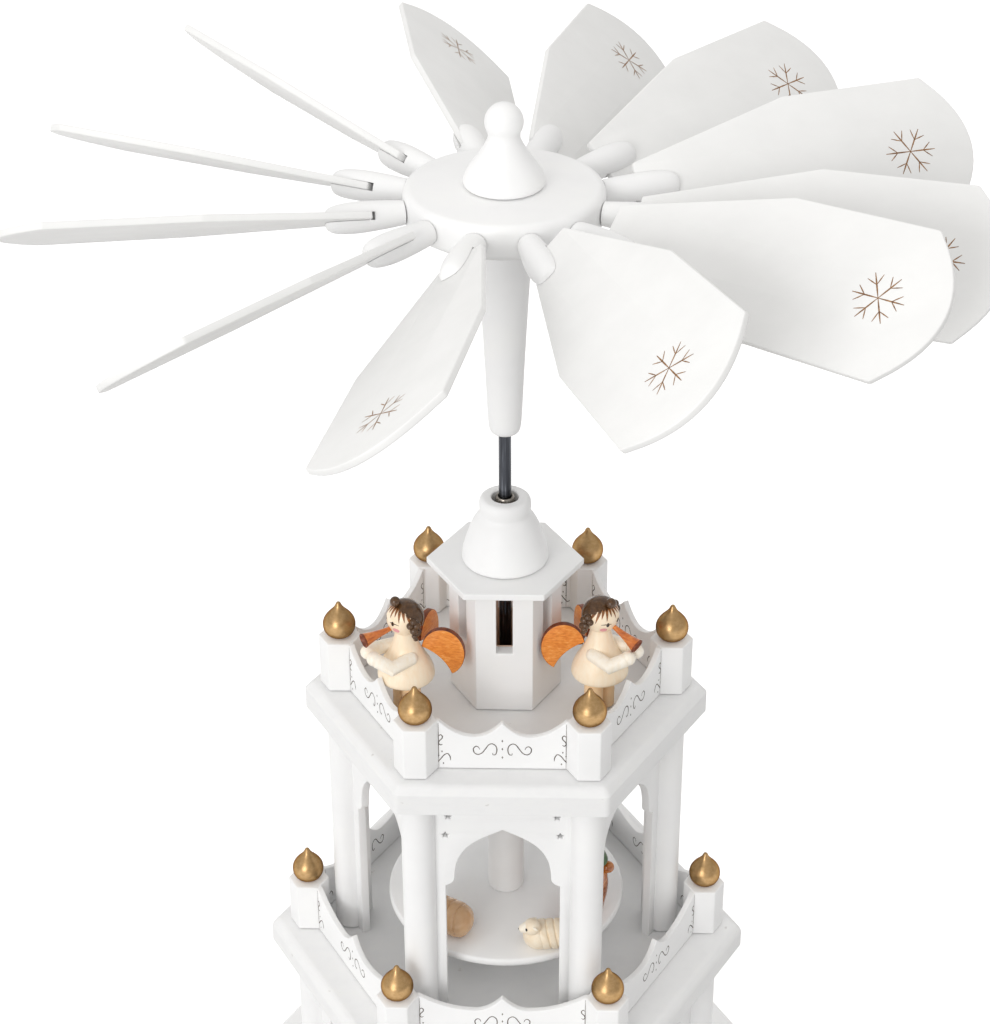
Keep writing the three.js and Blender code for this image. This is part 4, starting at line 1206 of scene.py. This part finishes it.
def angel(index, circle, degree, face, dip, look, bow):
    node = f"angel_{index}"
    place = stand_at(circle, degree, low(node), face)
    centre = (0, 0, HEAD_LEVEL)
    nod = Matrix.Rotation(radians(bow), 4, "Y")
    head = place @ shift(*centre) @ turn(look) @ nod @ shift(0, 0, -HEAD_LEVEL)
    body = Piece(f"{node}_body")
    dress = [
        (7.7, DRESS_HEM), (8.6, 13.9), (9.05, 14.5), (9.1, 15.5), (8.8, 17.0), (8.1, 18.9), (7.05, 20.9),
        (5.95, 22.8), (5.0, 24.7), (4.3, 26.5), (3.8, 28.2), (3.45, 29.6), (3.2, 30.8), (3.0, DRESS_TOP),
    ]
    body.add(lathe([(0, DRESS_HEM), *smooth(dress, 5), (0, DRESS_TOP)], 64), wood, place)
    body.add(ball(HEAD, centre, segments=56), skin, place)
    for side in (-1, 1):
        leg = [(0, 0), (2.8, 0), (3.1, 0.3), (3.05, 5), (3.05, 14.2), (0, 14.2)]
        body.add(lathe(leg, 32), leg_wood, place @ shift(0, LEG_SPACING * side, 0))
        shoulder = (0.6, 4.9 * side, 23.4)
        elbow = (8.0, 6.4 * side, 22.9)
        wrist = (11.6, 2.9 * side, 25.0)
        hand = (12.2, 2.25 * side, 25.5)
        body.add(mitred(shoulder, elbow, wrist, ARM_RADIUS), pale_wood, place)
        body.add(ball(ARM_RADIUS, shoulder, segments=24), pale_wood, place)
        body.add(ball(HAND_RADIUS, hand, segments=28), pale_wood, place)
        body.add(on_ball(centre, HEAD, side * 22, 4, 0.55, 0.8), black, head)
        lash = [(side * a, 6.5 - 0.006 * (a - 26) ** 2) for a in range(10, 46, 5)]
        widths = [0.1, 0.26, 0.34, 0.34, 0.3, 0.25, 0.18, 0.1]
        body.add(stroke_on_ball(centre, HEAD, lash, widths, 0.06), hair, head)
        body.add(on_ball(centre, HEAD, side * 33, -18, 1.25, 0.95), cheek, head)
    body.build("stand", "figure_wood", node, sharp=50)

    dark = Piece(f"{node}_hair")
    shell = HEAD + 0.35
    inner = radians(HAIR_REACH + 1)
    arc = [radians(HAIR_REACH * (1 - k / 16)) for k in range(16)]
    cap = [((HEAD - 0.3) * sin(inner), (HEAD - 0.3) * cos(inner))]
    cap += [*[(shell * sin(a), shell * cos(a)) for a in arc], (0, shell)]
    tilt = shift(*centre) @ Matrix.Rotation(radians(-HAIR_TILT), 4, "Y")
    dark.add(lathe(cap, 56), hair, head @ tilt)
    bun = Vector(centre) + heading(0, 65) * BUN_REACH
    dark.add(ball(1.7, bun, segments=28), hair, head)
    strands = [
        (-74, 40), (-56, 52), (-40, 40), (-24, 50), (-8, 40),
        (8, 50), (24, 40), (40, 52), (56, 42), (74, 48),
    ]
    for azimuth, fall in strands:
        start = hairline(azimuth) + 3
        path = [(azimuth * (1 + 0.02 * k), start - (fall - 4) * k / 6) for k in range(7)]
        widths = [1.0, 1.0, 0.92, 0.78, 0.58, 0.36, 0.1]
        dark.add(stroke_on_ball(centre, HEAD, path, widths, 0.09), fringe, head)
        dark.add(stroke_on_ball(centre, HEAD, path[:3], [1.1, 0.8, 0.1], 0.12), hair, head)
    curls = [
        (0.4, 6.0, 1.6, 1.25), (1.5, 5.9, 0.4, 1.2), (-0.5, 6.3, 0.1, 1.45), (0.6, 6.7, -1.2, 1.35),
        (-0.7, 6.5, -2.3, 1.25), (0.3, 6.6, -3.3, 1.05), (-0.1, 6.5, -4.5, 0.85),
    ]
    for side in (-1, 1):
        for x, y, z, radius in curls:
            dark.add(ball(radius, (x - 0.4, y * side, HEAD_LEVEL + z), segments=18), hair, head)
    dark.build("stand", "brown_wood", sharp=60)

    brown = Piece(f"{node}_wings")
    for side in (-1, 1):
        flat, rim = angel_wing(side)
        brown.add(flat, orange_wood, place)
        brown.add(rim, rim_wood, place)
    brown.build("stand", "brown_wood", sharp=45)

    horn = Piece(f"{node}_trumpet")
    bell = [(0.6, 0), (0.75, 0.2), (0.85, 1.8), (1.1, 4.0), (1.5, 6.5), (1.95, 8.4), (2.3, 9.6)]
    mouth = [(2.3, 9.6), (2.45, 10.1), (2.2, 10.3), (1.7, 9.7), (0.9, 8.0), (0, 7.5)]
    aim = shift(0.80 * HEAD, 0, HEAD_LEVEL - 0.44 * HEAD) @ Matrix.Rotation(radians(90 + dip), 4, "Y")
    horn.add(lathe([(0, 0), *bell], 36), trumpet_wood, place @ aim)
    horn.add(lathe(mouth, 36), rim_wood, place @ aim)
    horn.build("stand", "brown_wood", sharp=45)


for number, spot in enumerate(ANGEL_PLACES):
    angel(number + 1, *spot)


# Studio
def studio():
    plane = bpy.data.meshes.new("studio_floor")
    reach = 24.0
    corners = [(-reach, -reach, 0), (reach, -reach, 0), (reach, reach, 0), (-reach, reach, 0)]
    plane.from_pydata(corners, [], [(0, 1, 2, 3)])
    plane.materials.append(floor_paper)
    floor = bpy.data.objects.new("studio_floor", plane)
    bpy.context.scene.collection.objects.link(floor)
    floor.visible_diffuse = False
    shader = floor_paper.node_tree.nodes["Principled BSDF"]
    shader.inputs["Emission Color"].default_value = (1, 1, 1, 1)
    shader.inputs["Emission Strength"].default_value = 0.4
    world = bpy.data.worlds.new("studio")
    bpy.context.scene.world = world
    world.use_nodes = True
    tree = world.node_tree
    sky = tree.nodes["Background"]
    sky.inputs["Color"].default_value = (1, 0.992, 0.98, 1)
    place = tree.nodes.new("ShaderNodeTexCoord")
    towards = tree.nodes.new("ShaderNodeVectorMath")
    towards.operation = "DOT_PRODUCT"
    towards.inputs[1].default_value = (-0.3, 0.0, 0.95)
    level = tree.nodes.new("ShaderNodeMapRange")
    level.inputs["From Min"].default_value = -1
    level.inputs["From Max"].default_value = 1
    level.inputs["To Min"].default_value = 0.38
    level.inputs["To Max"].default_value = 1.03
    tree.links.new(place.outputs["Generated"], towards.inputs[0])
    tree.links.new(towards.outputs["Value"], level.inputs["Value"])
    tree.links.new(level.outputs["Result"], sky.inputs["Strength"])
    key = bpy.data.lights.new("key", "AREA")
    key.energy = 10.0
    key.size = 0.75
    lamp = bpy.data.objects.new("key", key)
    lamp.location = (-0.7, -1.5, 0.76)
    aim = Vector((0, 0, 0.27))
    lamp.rotation_euler = (aim - lamp.location).to_track_quat("-Z", "Y").to_euler()
    bpy.context.scene.collection.objects.link(lamp)
    settings = bpy.context.scene.view_settings
    settings.view_transform = "Standard"
    settings.look = "None"


studio()


# Camera at the photograph's viewing angle
def camera():
    yaw, pitch, roll = radians(-1.54), radians(-31.39), radians(-0.29)
    where = (0.01477, -0.667, 0.69346)
    forward = Vector((sin(yaw) * cos(pitch), cos(yaw) * cos(pitch), sin(pitch)))
    right = Vector((cos(yaw), -sin(yaw), 0))
    up = right.cross(forward)
    across = right * cos(roll) + up * sin(roll)
    upward = across.cross(forward)
    data = bpy.data.cameras.new("camera")
    data.lens = 87.78
    data.sensor_width = 36
    data.clip_start = 0.01
    thing = bpy.data.objects.new("camera", data)
    basis = Matrix((across, upward, -forward)).transposed().to_4x4()
    thing.matrix_world = Matrix.Translation(where) @ basis
    bpy.context.scene.collection.objects.link(thing)
    bpy.context.scene.camera = thing


camera()
